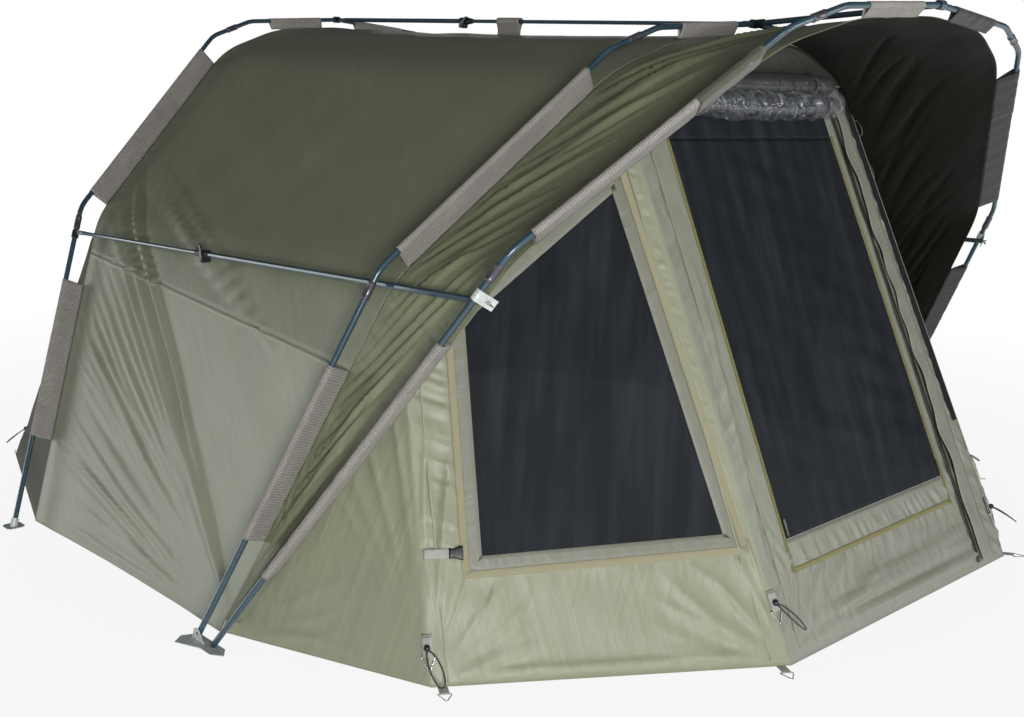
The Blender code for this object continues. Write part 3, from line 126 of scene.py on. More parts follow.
# The photograph's camera: place, view direction, roll in degrees and lens shift
CAMERA_AT = (-2.997, -2.907, 1.305)
CAMERA_WAY = (0.6622, 0.7189, -0.2114)
CAMERA_ROLL = 1.251
CAMERA_SHIFT = (0.0413, 0.0104)
FLOOR_RINGS = (0.5, 2.0, 6.0, 60.0)

# Threads as drawn, and the scale at which a wave texture makes one band for each unit
WEAVE_PITCH = 0.0016
NET_PITCH = 0.0022
BAND_SCALE = 0.314
SHADER = "Principled BSDF"

# Corners of the half hoop: foot, hip, brow, crest, crown, then the same on the right
HEM_L, HIP_L, BROW_L, CREST_L, CROWN, CREST_R, BROW_R, HIP_R, HEM_R = range(9)
SIDES = (("left", -1), ("right", 1))
ROOM_CENTRE = np.array([0.0, -0.1, 0.45])
PORCH_CENTRE = np.array([0.0, -0.75, 0.35])
X = np.array([1.0, 0.0, 0.0])
Z = np.array([0.0, 0.0, 1.0])


# Lines

def unit(v):
    """Directions of vectors: v / |v|."""
    return v / np.linalg.norm(v, axis=-1, keepdims=True)


def ease(x):
    """Smooth step: 3 x^2 - 2 x^3 of x held between 0 and 1."""
    x = np.clip(x, 0, 1)
    return x * x * (3 - 2 * x)


def ease_ends(share, width, last=1.0):
    """0 at both ends of a share and 1 between: ease(min(s, last - s) / width)."""
    return ease(np.minimum(share, last - share) / width)


def lengths(points):
    """Metres from the first point to each point of a line."""
    steps = np.linalg.norm(np.diff(points, axis=0), axis=1)
    return np.concatenate([[0.0], np.cumsum(steps)])


def span(start, end, count, endpoint=True):
    """A set count of evenly spaced points from one place to another."""
    return start + (end - start) * np.linspace(0, 1, count, endpoint=endpoint)[:, None]


def line(start, end, step=0.02):
    """Evenly spaced points from one place to another, about a step apart."""
    start, end = np.asarray(start, float), np.asarray(end, float)
    return span(start, end, max(2, int(np.linalg.norm(end - start) / step) + 1))


def headings(path, closed):
    """Unit directions along a path, from the points before and after each point."""
    if closed:
        return unit(np.roll(path, -1, axis=0) - np.roll(path, 1, axis=0))
    return unit(np.gradient(path, axis=0))


def on_side(mark, side):
    """A corner's number on one side: counted from the left foot, or back from the right one."""
    return mark if side < 0 else HEM_R - mark


class Run:
    """A line with rounded corners, read by corner share or by metres.

    A corner c rounded over a reach r runs a (1 - t)^2 + 2 c t (1 - t) + b t^2, where a and b
    lie on its two legs at r from it.
    """

    def __init__(self, corners, reach, steps=10):
        corners = np.asarray(corners, float)
        t = np.linspace(0, 1, steps + 1)[:, None]
        parts, marks = [corners[:1]], [0]
        for before, corner, after, r in zip(corners, corners[1:], corners[2:], reach):
            a = corner + unit(before - corner) * r
            b = corner + unit(after - corner) * r
            marks.append(sum(map(len, parts)) + steps // 2)
            parts.append(a * (1 - t) ** 2 + 2 * corner * t * (1 - t) + b * t ** 2)
        parts.append(corners[-1:])
        self.points = np.vstack(parts)
        self.metres = lengths(self.points)
        self.marks = self.metres[marks + [len(self.points) - 1]]

    def along(self, metres):
        """Points at metres from the start."""
        return np.stack([np.interp(metres, self.metres, axis) for axis in self.points.T], -1)

    def length_at(self, shares):
        """Metres from the start at corner shares."""
        return np.interp(shares, np.arange(len(self.marks)), self.marks)

    def at(self, shares):
        """Points at corner shares, where 0 is the first corner, 1 the second and so on."""
        return self.along(self.length_at(shares))


class Hoop:
    """One bent hoop in a leaning plane, its nine corners counted from the left foot."""

    def __init__(self, foot_y, lean, foot, hip, crown):
        lean = math.radians(lean)
        self.foot = np.array([0.0, foot_y + FOOT_LINE_Y, 0.0])
        self.up = np.array([0.0, math.sin(lean), math.cos(lean)])
        self.back = np.array([0.0, math.cos(lean), -math.sin(lean)])
        crest = crown - CREST_DROP
        half = [(foot, 0.0), hip, (CREST_HALF + BROW_REACH, crest - BROW_DROP),
                (CREST_HALF, crest), (0.0, crown)]
        self.flat = np.array([(-x, rise) for x, rise in half] + half[-2::-1])
        self.corners = self.world(self.flat)

    def world(self, flat):
        """World points: foot + x across + rise up the leaning plane."""
        flat = np.asarray(flat, float)
        return self.foot + flat[..., :1] * X + flat[..., 1:] * self.up

    def inset(self, distance, hem=HEM_LIFT):
        """Corners of the hoop's line moved inward and cut off at the hem's height."""
        run = unit(np.diff(self.flat, axis=0))
        crown = max(distance - SEAM_INSET, 0) + CROWN_INSET
        reach = np.array([distance] * 3 + [crown] * 2 + [distance] * 3)[:, None]
        moved = self.flat[:-1] + np.stack([run[:, 1], -run[:, 0]], 1) * reach
        p, u, q, w = moved[:-1], run[:-1], moved[1:], run[1:]
        turn = u[:, 0] * w[:, 1] - u[:, 1] * w[:, 0]
        gap = q - p
        middle = p + u * ((gap[:, 0] * w[:, 1] - gap[:, 1] * w[:, 0]) / turn)[:, None]
        ends = [moved[k] + run[k] * ((hem / self.up[2] - moved[k, 1]) / run[k, 1]) for k in (0, -1)]
        return self.world(np.vstack([ends[0], middle, ends[1]]))

    def seam(self, distance=SEAM_INSET, hem=HEM_LIFT, trail=0.0):
        """The cloth's edge: it cuts the bends short, as cloth pulled between sleeves does.

        It may trail behind the hoop's plane along the legs and shoulders.
        """
        drawn = trail * np.array([1, 1, 1, 0.4, 0, 0.4, 1, 1, 1])[:, None]
        rounding = (0.07, 0.085, 0.085, 0.05, 0.085, 0.085, 0.07)
        return Run(self.inset(distance, hem) + drawn * self.back, rounding)

    def pole(self):
        """The tube's centre line with its real bends."""
        run = unit(np.diff(self.corners, axis=0))
        turn = np.arccos(np.clip((run[:-1] * run[1:]).sum(1), -1, 1))
        return Run(self.corners, BEND_RADIUS * np.tan(turn / 2))


REAR = Hoop(1.086, 17.1, 1.616, (1.211, 1.000), 1.716)
MIDDLE = Hoop(0.0, -14.6, 1.601, (1.218, 0.957), 1.608)
FRONT = Hoop(-0.060, -29.6, 1.591, (1.164, 1.152), 1.821)
HOOPS = {"rear": REAR, "middle": MIDDLE, "front": FRONT}
HOOP_BODY = {"rear": "shelter", "middle": "front_frame", "front": "front_frame"}


def toward(start, end, distance):
    """The place at a distance from one place on the way to another."""
    return start + unit(end - start) * distance


class Wall:
    """A flat wall panel in its own axes: across from its first corner, up, and out."""

    def __init__(self, corners, centre=ROOM_CENTRE):
        self.corners = np.asarray(corners, float)
        a, b, _, d = self.corners
        self.across = unit(b - a)
        out = unit(np.cross(b - a, d - a))
        self.out = out if (out * (a - centre)).sum() > 0 else -out
        self.up = np.cross(self.out, self.across)
        self.up = self.up if self.up[2] > 0 else -self.up
        self.flat_corners = self.flat(self.corners)

    def flat(self, points):
        """Metres across and up of world points."""
        moved = points - self.corners[0]
        return np.stack([moved @ self.across, moved @ self.up], -1)

    def place(self, flat, height=0.0):
        """World points: first corner + x across + y up + height out."""
        flat = np.asarray(flat, float)
        return (self.corners[0] + flat[..., :1] * self.across + flat[..., 1:2] * self.up
                + self.out * height)

    def spot(self, shares):
        """Flat point at a share across the hem and up to the top edge."""
        a, b, c, d = self.flat_corners
        low = a + (b - a) * shares[0]
        high = d + (c - d) * shares[0]
        return low + (high - low) * shares[1]


def hem_corner(half, y, side):
    """A corner of the hem: half the width out on one side, just above the floor."""
    return np.array([side * half, y, HEM_LIFT])


def window_wall(side):
    """Plane through the inner hem corner and the middle hoop's brow and hip."""
    seam = MIDDLE.inset(WALL_INSET)
    hip, brow = seam[on_side(HIP_L, side)], seam[on_side(BROW_L, side)]
    inner = hem_corner(CORNER_B_HALF, CORNER_B_Y, side)
    out = np.cross(brow - inner, hip - inner)
    outer = hem_corner(CORNER_A_HALF, 0.0, side)
    outer[1] = inner[1] - (out[0] * (outer[0] - inner[0]) + out[2] * (outer[2] - inner[2])) / out[1]
    return Wall([outer, inner, brow, hip])


def door_wall():
    """Plane through the two inner hem corners and the middle hoop's brows."""
    seam = MIDDLE.inset(WALL_INSET)
    low = [hem_corner(CORNER_B_HALF, CORNER_B_Y, side) for side in (-1, 1)]
    return Wall(low + [seam[BROW_R], seam[BROW_L]])


WINDOWS = {side: window_wall(side) for _, side in SIDES}
DOOR = door_wall()


# Relief: heights in metres that folds and puckers add to a flat place on the cloth

def wander(x, seed):
    """Uneven wave between about -1 and 1: the mean of sines whose pitches share no period."""
    rng = np.random.default_rng(seed)
    pitch = rng.uniform(0.5, 1.6, 6)
    start = rng.uniform(0, 2 * np.pi, 6)
    return np.sin(2 * np.pi * np.asarray(x)[..., None] * pitch + start).mean(-1) * 1.9


def fold(at, start, end, width, height, bow=0.0):
    """A crease between two places: height (1.3 exp(-1.5 |d|) - 0.3 exp(-(d / 2)^2)) across.

    d is the distance from the crease's line over its width, and the line bows aside by bow. The
    crease is sharp along its crest, hollow beside it, and fades at its ends.
    """
    start, end = np.asarray(start, float), np.asarray(end, float)
    run = unit(end - start)
    share = np.clip(((at - start) @ run) / np.linalg.norm(end - start), 0, 1)
    aside = (at - start) @ np.array([-run[1], run[0]]) - bow * np.sin(np.pi * share)
    d = aside / (width * (0.55 + 0.45 * np.sin(np.pi * share)))
    crest = np.sqrt(d * d + 0.05) - 0.22
    shape = 1.3 * np.exp(-1.5 * crest) - 0.3 * np.exp(-(d / 2) ** 2)
    return height * shape * np.sin(np.pi * share) ** 0.8


def fan(at, focus, angles, near, far, width, height, seed):
    """Creases that spread from one place, each with its own reach, width and height."""
    rng = np.random.default_rng(seed)
    focus = np.asarray(focus, float)
    total = np.zeros(at.shape[:-1])
    for angle in np.radians(angles):
        way = np.array([math.cos(angle), math.sin(angle)])
        start = focus + way * near * rng.uniform(0.8, 1.6)
        end = focus + way * far * rng.uniform(0.75, 1.05)
        total += fold(at, start, end, width * rng.uniform(0.6, 1.5),
                      height * rng.uniform(0.45, 1.2), rng.uniform(-0.02, 0.02))
    return total


def gathers(at, start, end, depth, pitch, height, seed, slant=0.0):
    """Puckers square to a sewn line: an uneven wave along it that fades as exp(-d / depth)."""
    start, end = np.asarray(start, float), np.asarray(end, float)
    run = unit(end - start)
    along = (at - start) @ run
    aside = np.abs((at - start) @ np.array([-run[1], run[0]]))
    ends = ease(along / 0.05 + 0.5) * ease((np.linalg.norm(end - start) - along) / 0.05 + 0.5)
    deep = depth * (1 + 0.5 * wander(along / (pitch * 2.3), seed + 7))
    return height * wander((along + slant * aside) / pitch, seed) * np.exp(-aside / deep) * ends


def billow(at, pitch, height, seed):
    """Slow swell: the product of two uneven waves that cross at a slant."""
    x, y = at[..., 0] / pitch, at[..., 1] / pitch
    return height * wander(x + 0.35 * y, seed) * wander(y - 0.3 * x, seed + 1)


def edge_distance(at, corners):
    """Least distance from flat places to the lines of an outline."""
    nearest = np.full(at.shape[:-1], np.inf)
    for a, b in zip(corners, np.roll(corners, -1, axis=0)):
        run = b - a
        share = np.clip(((at - a) @ run) / (run @ run), 0, 1)
        gap = np.linalg.norm(at - a - share[..., None] * run, axis=-1)
        nearest = np.minimum(nearest, gap)
    return nearest


# Meshes

def lattice(rows, columns, closed_rows=False, closed_columns=False):
    """Quads of a grid, and each corner's row and column counted on past a closed seam."""
    r, c = np.meshgrid(np.arange(rows - (not closed_rows)),
                       np.arange(columns - (not closed_columns)), indexing="ij")
    corner_rows = np.stack([r, r, r + 1, r + 1], -1).reshape(-1, 4)
    corner_columns = np.stack([c, c + 1, c + 1, c], -1).reshape(-1, 4)
    faces = (corner_rows % rows) * columns + corner_columns % columns
    return faces, corner_rows, corner_columns


def grid_normals(points, closed_columns=False):
    """Unit normals of a grid from its central differences along rows and columns."""
    down = np.gradient(points, axis=0)
    if closed_columns:
        over = np.roll(points, -1, axis=1) - np.roll(points, 1, axis=1)
    else:
        over = np.gradient(points, axis=1)
    normals = np.cross(over, down)
    return normals / np.maximum(np.linalg.norm(normals, axis=-1, keepdims=True), 1e-12)


class Patch:
    """A grid of points with flat places in metres, its faces wound to look away from a centre."""

    def __init__(self, points, flat, centre, closed=False):
        self.points, self.flat, self.closed = points, flat, closed
        self.normals = grid_normals(points, closed)
        look = (self.normals * (points - centre)).sum(-1).mean()
        self.turned = look < 0
        if self.turned:
            self.normals = -self.normals

    def raised(self, height):
        """Moves each point along its normal by its height."""
        self.points = self.points + self.normals * height[..., None]
        return self

    def area(self):
        """Sum over the grid's cells of |over x down|."""
        over = np.diff(self.points, axis=1)[:-1]
        down = np.diff(self.points, axis=0)[:, :-1]
        return np.linalg.norm(np.cross(over, down), axis=-1).sum()

    def faces(self):
        """Faces wound to look out, with their flat places."""
        rows, columns = self.points.shape[:2]
        faces, r, c = lattice(rows, columns, closed_columns=self.closed)
        uv = self.flat[r, c % columns]
        order = slice(None, None, -1) if self.turned else slice(None)
        return faces[:, order], uv[:, order]


def new_object(name, points, faces, uv, materials):
    """Object at the origin from points, faces and one flat place for each face corner."""
    mesh = bpy.data.meshes.new(name)
    mesh.from_pydata(points, [], faces)
    layer = mesh.uv_layers.new(name="Weave")
    layer.data.foreach_set("uv", np.asarray(uv, np.float32).ravel())
    for material in materials:
        mesh.materials.append(material)
    mesh.polygons.foreach_set("use_smooth", [True] * len(mesh.polygons))
    obj = bpy.data.objects.new(name, mesh)
    bpy.context.scene.collection.objects.link(obj)
    return obj


def weld(obj, distance=0.0004):
    """Joins the doubles where patches meet and drops the empty faces at a pole."""
    work = bmesh.new()
    work.from_mesh(obj.data)
    bmesh.ops.remove_doubles(work, verts=work.verts, dist=distance)
    bmesh.ops.dissolve_degenerate(work, edges=work.edges, dist=distance / 4)
    work.to_mesh(obj.data)
    work.free()


def sew(name, patches, materials, thickness=0.001):
    """One cloth object from patches, with its wall's thickness laid inward."""
    points, faces, uv, count = [], [], [], 0
    for patch in patches:
        quads, flat = patch.faces()
        points.append(patch.points.reshape(-1, 3))
        faces.append(quads + count)
        uv.append(flat.reshape(-1, 2))
        count += len(points[-1])
    points = np.vstack(points)
    points[:, 2] = np.maximum(points[:, 2], thickness)
    obj = new_object(name, points, np.vstack(faces).tolist(), np.vstack(uv), materials)
    weld(obj)
    wall = obj.modifiers.new("Wall", "SOLIDIFY")
    wall.thickness = thickness
    wall.offset = -1
    wall.material_offset = len(materials) - 1
    return obj


def capped(faces, rows, sides, closed=False):
    """The faces of a tube as lists, with a many sided face over each end unless it is closed."""
    last = (rows - 1) * sides
    caps = [] if closed else [list(range(sides - 1, -1, -1)), list(range(last, last + sides))]
    return faces.tolist() + caps


def tube(name, path, radii, side, materials, sides=20, closed=False):
    """Circles carried along a flat path: p + r (cos a n + sin a b), with n square to the path.

    side is any way that the path never runs along, and n is its part square to the path.
    """
    path = np.asarray(path, float)
    radii = np.broadcast_to(np.asarray(radii, float), (len(path),))
    ahead = headings(path, closed)
    n = unit(side - (ahead @ side)[:, None] * ahead)
    b = np.cross(ahead, n)
    a = np.linspace(0, 2 * np.pi, sides, endpoint=False)
    rings = (path[:, None] + radii[:, None, None]
             * (np.cos(a)[None, :, None] * n[:, None] + np.sin(a)[None, :, None] * b[:, None]))
    faces, r, c = lattice(len(path), sides, closed, True)
    metres = lengths(np.vstack([path, path[:1]]))
    girth = 2 * np.pi * radii.max() / sides
    uv = np.stack([c * girth, metres[r]], -1).reshape(-1, 2)
    if not closed:
        cap = np.stack([np.cos(a), np.sin(a)], -1) * radii.max()
        uv = np.vstack([uv, cap[::-1], cap])
    faces = capped(faces, len(path), sides, closed)
    return new_object(name, rings.reshape(-1, 3), faces, uv, materials)


def strap(name, path, out, width, thickness, materials, closed=False):
    """A flat band carried along a path, its broad face turned to the out directions.

    Its profile is a box of w by h with each corner cut off by a third of h at most.
    """
    path = np.asarray(path, float)
    ahead = headings(path, closed)
    aside = unit(np.cross(ahead, np.broadcast_to(np.asarray(out, float), path.shape)))
    out = np.cross(aside, ahead)
    w, h, soft = width / 2, thickness / 2, min(thickness / 3, width / 8)
    right = [(w / 3, -h), (w - soft, -h), (w, -h + soft), (w, h - soft), (w - soft, h), (w / 3, h)]
    left = [(-x, y) for x, y in right[::-1]]
    profile = np.array(left[3:] + right + left[:3])
    rings = (path[:, None] + profile[None, :, :1] * aside[:, None]
             + profile[None, :, 1:] * out[:, None])
    count = len(profile)
    faces, r, c = lattice(len(path), count, closed, True)
    round_band = lengths(np.vstack([profile, profile[:1]]))
    metres = lengths(np.vstack([path, path[:1]]))
    uv = np.stack([round_band[c], metres[r]], -1).reshape(-1, 2)
    if not closed:
        uv = np.vstack([uv, profile[::-1], profile])
    faces = capped(faces, len(path), count, closed)
    obj = new_object(name, rings.reshape(-1, 3), faces, uv, materials)
    outward(obj)
    return obj


def outward(obj):
    """Turns the faces of a closed mesh to point out."""
    work = bmesh.new()
    work.from_mesh(obj.data)
    bmesh.ops.recalc_face_normals(work, faces=work.faces)
    work.to_mesh(obj.data)
    work.free()


# Finishes

def paint(code):
    """Linear colour of an sRGB hex value."""
    shares = [int(code[k:k + 2], 16) / 255 for k in (1, 3, 5)]
    return tuple(s / 12.92 if s <= 0.04045 else ((s + 0.055) / 1.055) ** 2.4 for s in shares)


def node(tree, kind, inputs=None, **settings):
    """Adds a node; inputs gives each socket's value, or the output that feeds it."""
    made = tree.nodes.new(kind)
    for name, value in settings.items():
        setattr(made, name, value)
    for name, value in (inputs or {}).items():
        if isinstance(value, bpy.types.NodeSocket):
            tree.links.new(value, made.inputs[name])
        else:
            made.inputs[name].default_value = value
    return made


def surface(name, roughness, **sockets):
    """A material with a principled shader, and its tree."""
    material = bpy.data.materials.new(name)
    material.use_nodes = True
    inputs = material.node_tree.nodes[SHADER].inputs
    inputs["Roughness"].default_value = roughness
    for socket, value in sockets.items():
        inputs[socket.replace("_", " ")].default_value = value
    return material, material.node_tree


def dressed(material, colour, *layers):
    """Gives a material its colour and stacked bumps, each a height and its depth in metres."""
    tree = material.node_tree
    inputs = tree.nodes[SHADER].inputs
    tree.links.new(colour, inputs["Base Color"])
    last = None
    for height, depth in layers:
        feeds = {"Height": height, "Distance": depth, "Strength": 1.0}
        if last is not None:
            feeds["Normal"] = last
        last = node(tree, "ShaderNodeBump", feeds).outputs[0]
    if last is not None:
        tree.links.new(last, inputs["Normal"])
    return material


def weave_places(tree):
    """Flat places on the cloth, in metres along and across its cut."""
    return node(tree, "ShaderNodeUVMap", uv_map="Weave").outputs[0]


def solid_places(tree):
    """Places in the object's own axes, in metres."""
    return node(tree, "ShaderNodeTexCoord").outputs["Object"]


def per_metre(tree, source, sizes, turn=0.0):
    """Coordinates scaled so that one unit is the given size in metres, turned about Z."""
    turned = node(tree, "ShaderNodeMapping", {"Vector": source, "Rotation": (0, 0, turn)})
    scale = tuple(1 / size for size in np.broadcast_to(sizes, 3))
    return node(tree, "ShaderNodeMapping",
                {"Vector": turned.outputs[0], "Scale": scale}).outputs[0]


def noise(tree, source, sizes, turn=0.0, detail=3.0):
    """Cloudy values whose blots have the given sizes in metres."""
    where = per_metre(tree, source, sizes, turn)
    return node(tree, "ShaderNodeTexNoise", {"Vector": where, "Scale": 1.0, "Detail": detail},
                noise_dimensions="3D").outputs["Fac"]


def bands(tree, source, size, way, turn=0.0, distortion=0.0):
    """Sine bands of one size in metres, counted along a way."""
    where = per_metre(tree, source, size, turn)
    return node(tree, "ShaderNodeTexWave",
                {"Vector": where, "Scale": BAND_SCALE, "Distortion": distortion},
                bands_direction=way).outputs["Fac"]


def between(tree, factor, low, high):
    """A value's rise from low to high, as 0 to 1."""
    return node(tree, "ShaderNodeMapRange", {"Value": factor, "From Min": low, "From Max": high},
                interpolation_type="SMOOTHSTEP").outputs[0]


def mixed(tree, factor, one, other):
    """Colour that runs from one to the other with a factor."""
    colours = {key: value if isinstance(value, bpy.types.NodeSocket) else (*value, 1.0)
               for key, value in ((6, one), (7, other))}
    return node(tree, "ShaderNodeMix", {0: factor, **colours}, data_type="RGBA").outputs[2]


def shade(colour, share):
    """A colour with each channel times a share."""
    return tuple(c * share for c in colour)


def threads(tree, uv, pitch):
    """Plain weave: the product of a warp wave and a weft wave, each one pitch wide."""
    warp, weft = bands(tree, uv, pitch, "X"), bands(tree, uv, pitch, "Y")
    return node(tree, "ShaderNodeMath", {0: warp, 1: weft}, operation="MULTIPLY").outputs[0]


def coated_nylon(name, colour, pull=0.0, crease=0.0035):
    """Proofed nylon: a close plain weave with a low sheen and fine creases along its pull.

    The real thread is 0.25 mm; it is drawn at 1.6 mm so that it shows.
    """
    material, tree = surface(name, 0.40, Sheen_Weight=0.03, Sheen_Roughness=0.4,
                             Specular_IOR_Level=0.6)
    uv = weave_places(tree)
    creases = noise(tree, uv, (0.42, 0.030, 1), pull, 4.0)
    crumple = noise(tree, uv, (0.16, 0.045, 1), pull + 0.5, 5.0)
    mottle = noise(tree, solid_places(tree), 0.35)
    thread = threads(tree, uv, WEAVE_PITCH)
    # Painted shade and light: the colour runs darker in the fine creases' hollows and lighter on
    # their crests.
    dark = mixed(tree, between(tree, creases, 0.35, 0.72), shade(colour, 0.95), shade(colour, 1.04))
    tone = mixed(tree, between(tree, mottle, 0.3, 0.7), dark, shade(colour, 0.93))
    final = mixed(tree, between(tree, thread, 0.0, 3.0), tone, shade(colour, 0.7))
    return dressed(material, final, (creases, crease), (crumple, crease * 0.8), (thread, 0.00018))


def cloth_back(name, colour):
    """The proofed inner face: dark, a little shinier, with the same weave showing through. Its
    colour is darker in the crumples' hollows and lighter on their crests, painted shade and light.
    """
    material, tree = surface(name, 0.65, Specular_IOR_Level=0.3)
    uv = weave_places(tree)
    crumple = noise(tree, uv, (0.3, 0.06, 1), 0.6, 4.0)
    return dressed(material, mixed(tree, crumple, shade(colour, 0.75), shade(colour, 1.2)),
                   (crumple, 0.004), (threads(tree, uv, WEAVE_PITCH), 0.00015))


def sleeve_weave(name, colour):
    """Heavy woven polyester that takes the rub of the pole: a bold basket weave.

    Its cells are 2 mm across, drawn at 5 mm so that they show.
    """
    material, tree = surface(name, 0.62, Sheen_Weight=0.15)
    uv = weave_places(tree)
    where = per_metre(tree, uv, (0.0050, 0.0070, 1))
    cells = node(tree, "ShaderNodeTexVoronoi", {"Vector": where, "Scale": 1.0, "Randomness": 0.18},
                 voronoi_dimensions="2D").outputs["Distance"]
    soil = between(tree, noise(tree, uv, (0.05, 0.12, 1)), 0.3, 0.75)
    tone = mixed(tree, soil, shade(colour, 0.82), shade(colour, 1.08))
    final = mixed(tree, between(tree, cells, 0.25, 0.62), tone, shade(colour, 0.45))
    return dressed(material, final, (between(tree, cells, 0.7, 0.1), 0.0012))


def painted_tube(name, colour):
    """Powder coated alloy tube: smooth, glossy, lightly rubbed and dusty."""
    material, tree = surface(name, 0.24, Metallic=0.35, Coat_Weight=0.8, Coat_Roughness=0.08)
    place = solid_places(tree)
    rub = noise(tree, place, (0.012, 0.012, 0.05), detail=5.0)
    dust = noise(tree, place, 0.09)
    tone = mixed(tree, between(tree, dust, 0.35, 0.75), colour, shade(colour, 1.35))
    final = mixed(tree, between(tree, rub, 0.66, 0.78), tone, shade(colour, 2.2))
    tree.links.new(between(tree, dust, -1.2, 1.8), tree.nodes[SHADER].inputs["Roughness"])
    return dressed(material, final, (rub, 0.00012))


def galvanised_steel(name, colour):
    """Zinc coated sheet: pale grey crystals about 4 mm across, and a soft metal gloss."""
    material, tree = surface(name, 0.5, Metallic=0.35)
    place = solid_places(tree)
    crystals = node(tree, "ShaderNodeTexVoronoi",
                    {"Vector": per_metre(tree, place, 0.004), "Scale": 1.0}).outputs["Color"]
    grey = node(tree, "ShaderNodeRGBToBW", {0: crystals}).outputs[0]
    return dressed(material, mixed(tree, grey, shade(colour, 0.78), shade(colour, 1.15)),
                   (noise(tree, place, 0.003), 0.0001))


def polished_steel(name, colour):
    """Drawn steel wire: bright, with fine draw marks."""
    material, tree = surface(name, 0.24, Metallic=1.0)
    marks = noise(tree, solid_places(tree), (0.002, 0.002, 0.01), detail=4.0)
    return dressed(material, mixed(tree, marks, shade(colour, 0.8), shade(colour, 1.1)),
                   (marks, 0.00008))


def moulded_nylon(name, colour):
    """Injection moulded nylon: near black, satin, with a fine eroded grain of 0.6 mm."""
    material, tree = surface(name, 0.42, Coat_Weight=0.15, Coat_Roughness=0.3)
    place = solid_places(tree)
    scuff = between(tree, noise(tree, place, 0.02, detail=5.0), 0.5, 0.8)
    return dressed(material, mixed(tree, scuff, colour, shade(colour, 2.4)),
                   (noise(tree, place, 0.0006), 0.00008))


def insect_mesh(name, colour, haze):
    """Fine black netting: its threads let a little of the room show through."""
    material, tree = surface(name, 0.7, Specular_IOR_Level=0.12, Alpha=0.93)
    uv = weave_places(tree)
    slack = noise(tree, uv, (0.05, 0.45, 1), 0.12, 5.0)
    net = threads(tree, uv, NET_PITCH)
    # Painted light: the mesh runs from its dark colour towards the pale haze over the raised slack.
    tone = mixed(tree, between(tree, slack, 0.35, 1.3), colour, haze)
    return dressed(material, mixed(tree, between(tree, net, 0.0, 3.5), tone, haze),
                   (slack, 0.002), (net, 0.0003))


def clear_film(name, colour, cover):
    """Soft clear PVC film, rolled: painted highlights on its sharp creases, where the film is
    painted pale and more opaque.
    """
    material, tree = surface(name, 0.07, Transmission_Weight=0.55, IOR=1.5, Coat_Weight=1.0,
                             Coat_Roughness=0.03, Alpha=cover)
    uv = weave_places(tree)
    creases = noise(tree, uv, (0.05, 0.014, 1), 0.4, 5.0)
    folds = noise(tree, uv, (0.11, 0.03, 1), -0.5, 3.0)
    # Painted highlights: along the crease crests the film turns more opaque, and its colour rises
    # there from a darker tone to its full pale colour.
    crest = node(tree, "ShaderNodeMapRange", {"Value": creases, "From Min": 0.55, "From Max": 0.70,
                                              "To Min": cover * 0.6, "To Max": min(cover + 0.5, 1)})
    tree.links.new(crest.outputs[0], tree.nodes[SHADER].inputs["Alpha"])
    tone = mixed(tree, between(tree, creases, 0.45, 0.7), shade(colour, 0.55), colour)
    return dressed(material, tone, (folds, 0.022), (creases, 0.012))


def webbing_weave(name, colour):
    """Polypropylene webbing: ribs 2.5 mm apart across the band."""
    material, tree = surface(name, 0.6, Sheen_Weight=0.2)
    uv = weave_places(tree)
    ribs = bands(tree, uv, (0.0025, 0.0025, 1), "Y", distortion=0.6)
    tone = mixed(tree, noise(tree, uv, (0.02, 0.05, 1)), shade(colour, 0.8), shade(colour, 1.1))
    final = mixed(tree, between(tree, ribs, 0.2, 1.6), shade(colour, 0.62), tone)
    return dressed(material, final, (ribs, 0.0005))


def zip_coil(name, colour):
    """Nylon zip coil on its tape: teeth 3 mm apart down the middle."""
    material, tree = surface(name, 0.5, Sheen_Weight=0.1)
    teeth = bands(tree, weave_places(tree), (0.003, 0.003, 1), "Y")
    final = mixed(tree, between(tree, teeth, 0.1, 1.1), shade(colour, 0.6), colour)
    return dressed(material, final, (teeth, 0.0009))


def braided_cord(name, colour):
    """Elastic cord in a braided cover: slanting strands, one each 2.4 mm."""
    material, tree = surface(name, 0.6, Sheen_Weight=0.2)
    strands = bands(tree, weave_places(tree), (0.0024, 0.0024, 1), "Y", math.radians(35))
    return dressed(material, mixed(tree, strands, shade(colour, 0.6), shade(colour, 1.5)),
                   (strands, 0.0004))


# Sizes and colours a user would change

def colour_property(name, code, description):
    """A colour that a user can change, from its hex code."""
    return FloatVectorProperty(name=name, description=description, subtype="COLOR", size=3,
                               min=0.0, max=1.0, default=paint(code))


class BivvyCloth(bpy.types.PropertyGroup):
    """How the cloth is cut and how it pulls."""
    thickness: FloatProperty(name="Cloth thickness", description="Wall of the proofed cloth",
                             default=0.0010, min=0.0003, unit="LENGTH")
    cell: FloatProperty(name="Cell", description="Spacing of the cloth's grid", default=0.009,
                        min=0.004, unit="LENGTH")
    sag: FloatProperty(name="Sag", description="Depth of the hollow between two hoops",
                       default=0.014, min=0.0, unit="LENGTH")
    folds: FloatProperty(name="Folds", description="Height of the tension folds", default=0.0150,
                         min=0.0, unit="LENGTH")
    puckers: FloatProperty(name="Puckers", description="Height of the puckers along sewn edges",
                           default=0.0045, min=0.0, unit="LENGTH")
    tape: FloatProperty(name="Tape width", description="Width of the tape round each window",
                        default=0.018, min=0.002, unit="LENGTH")


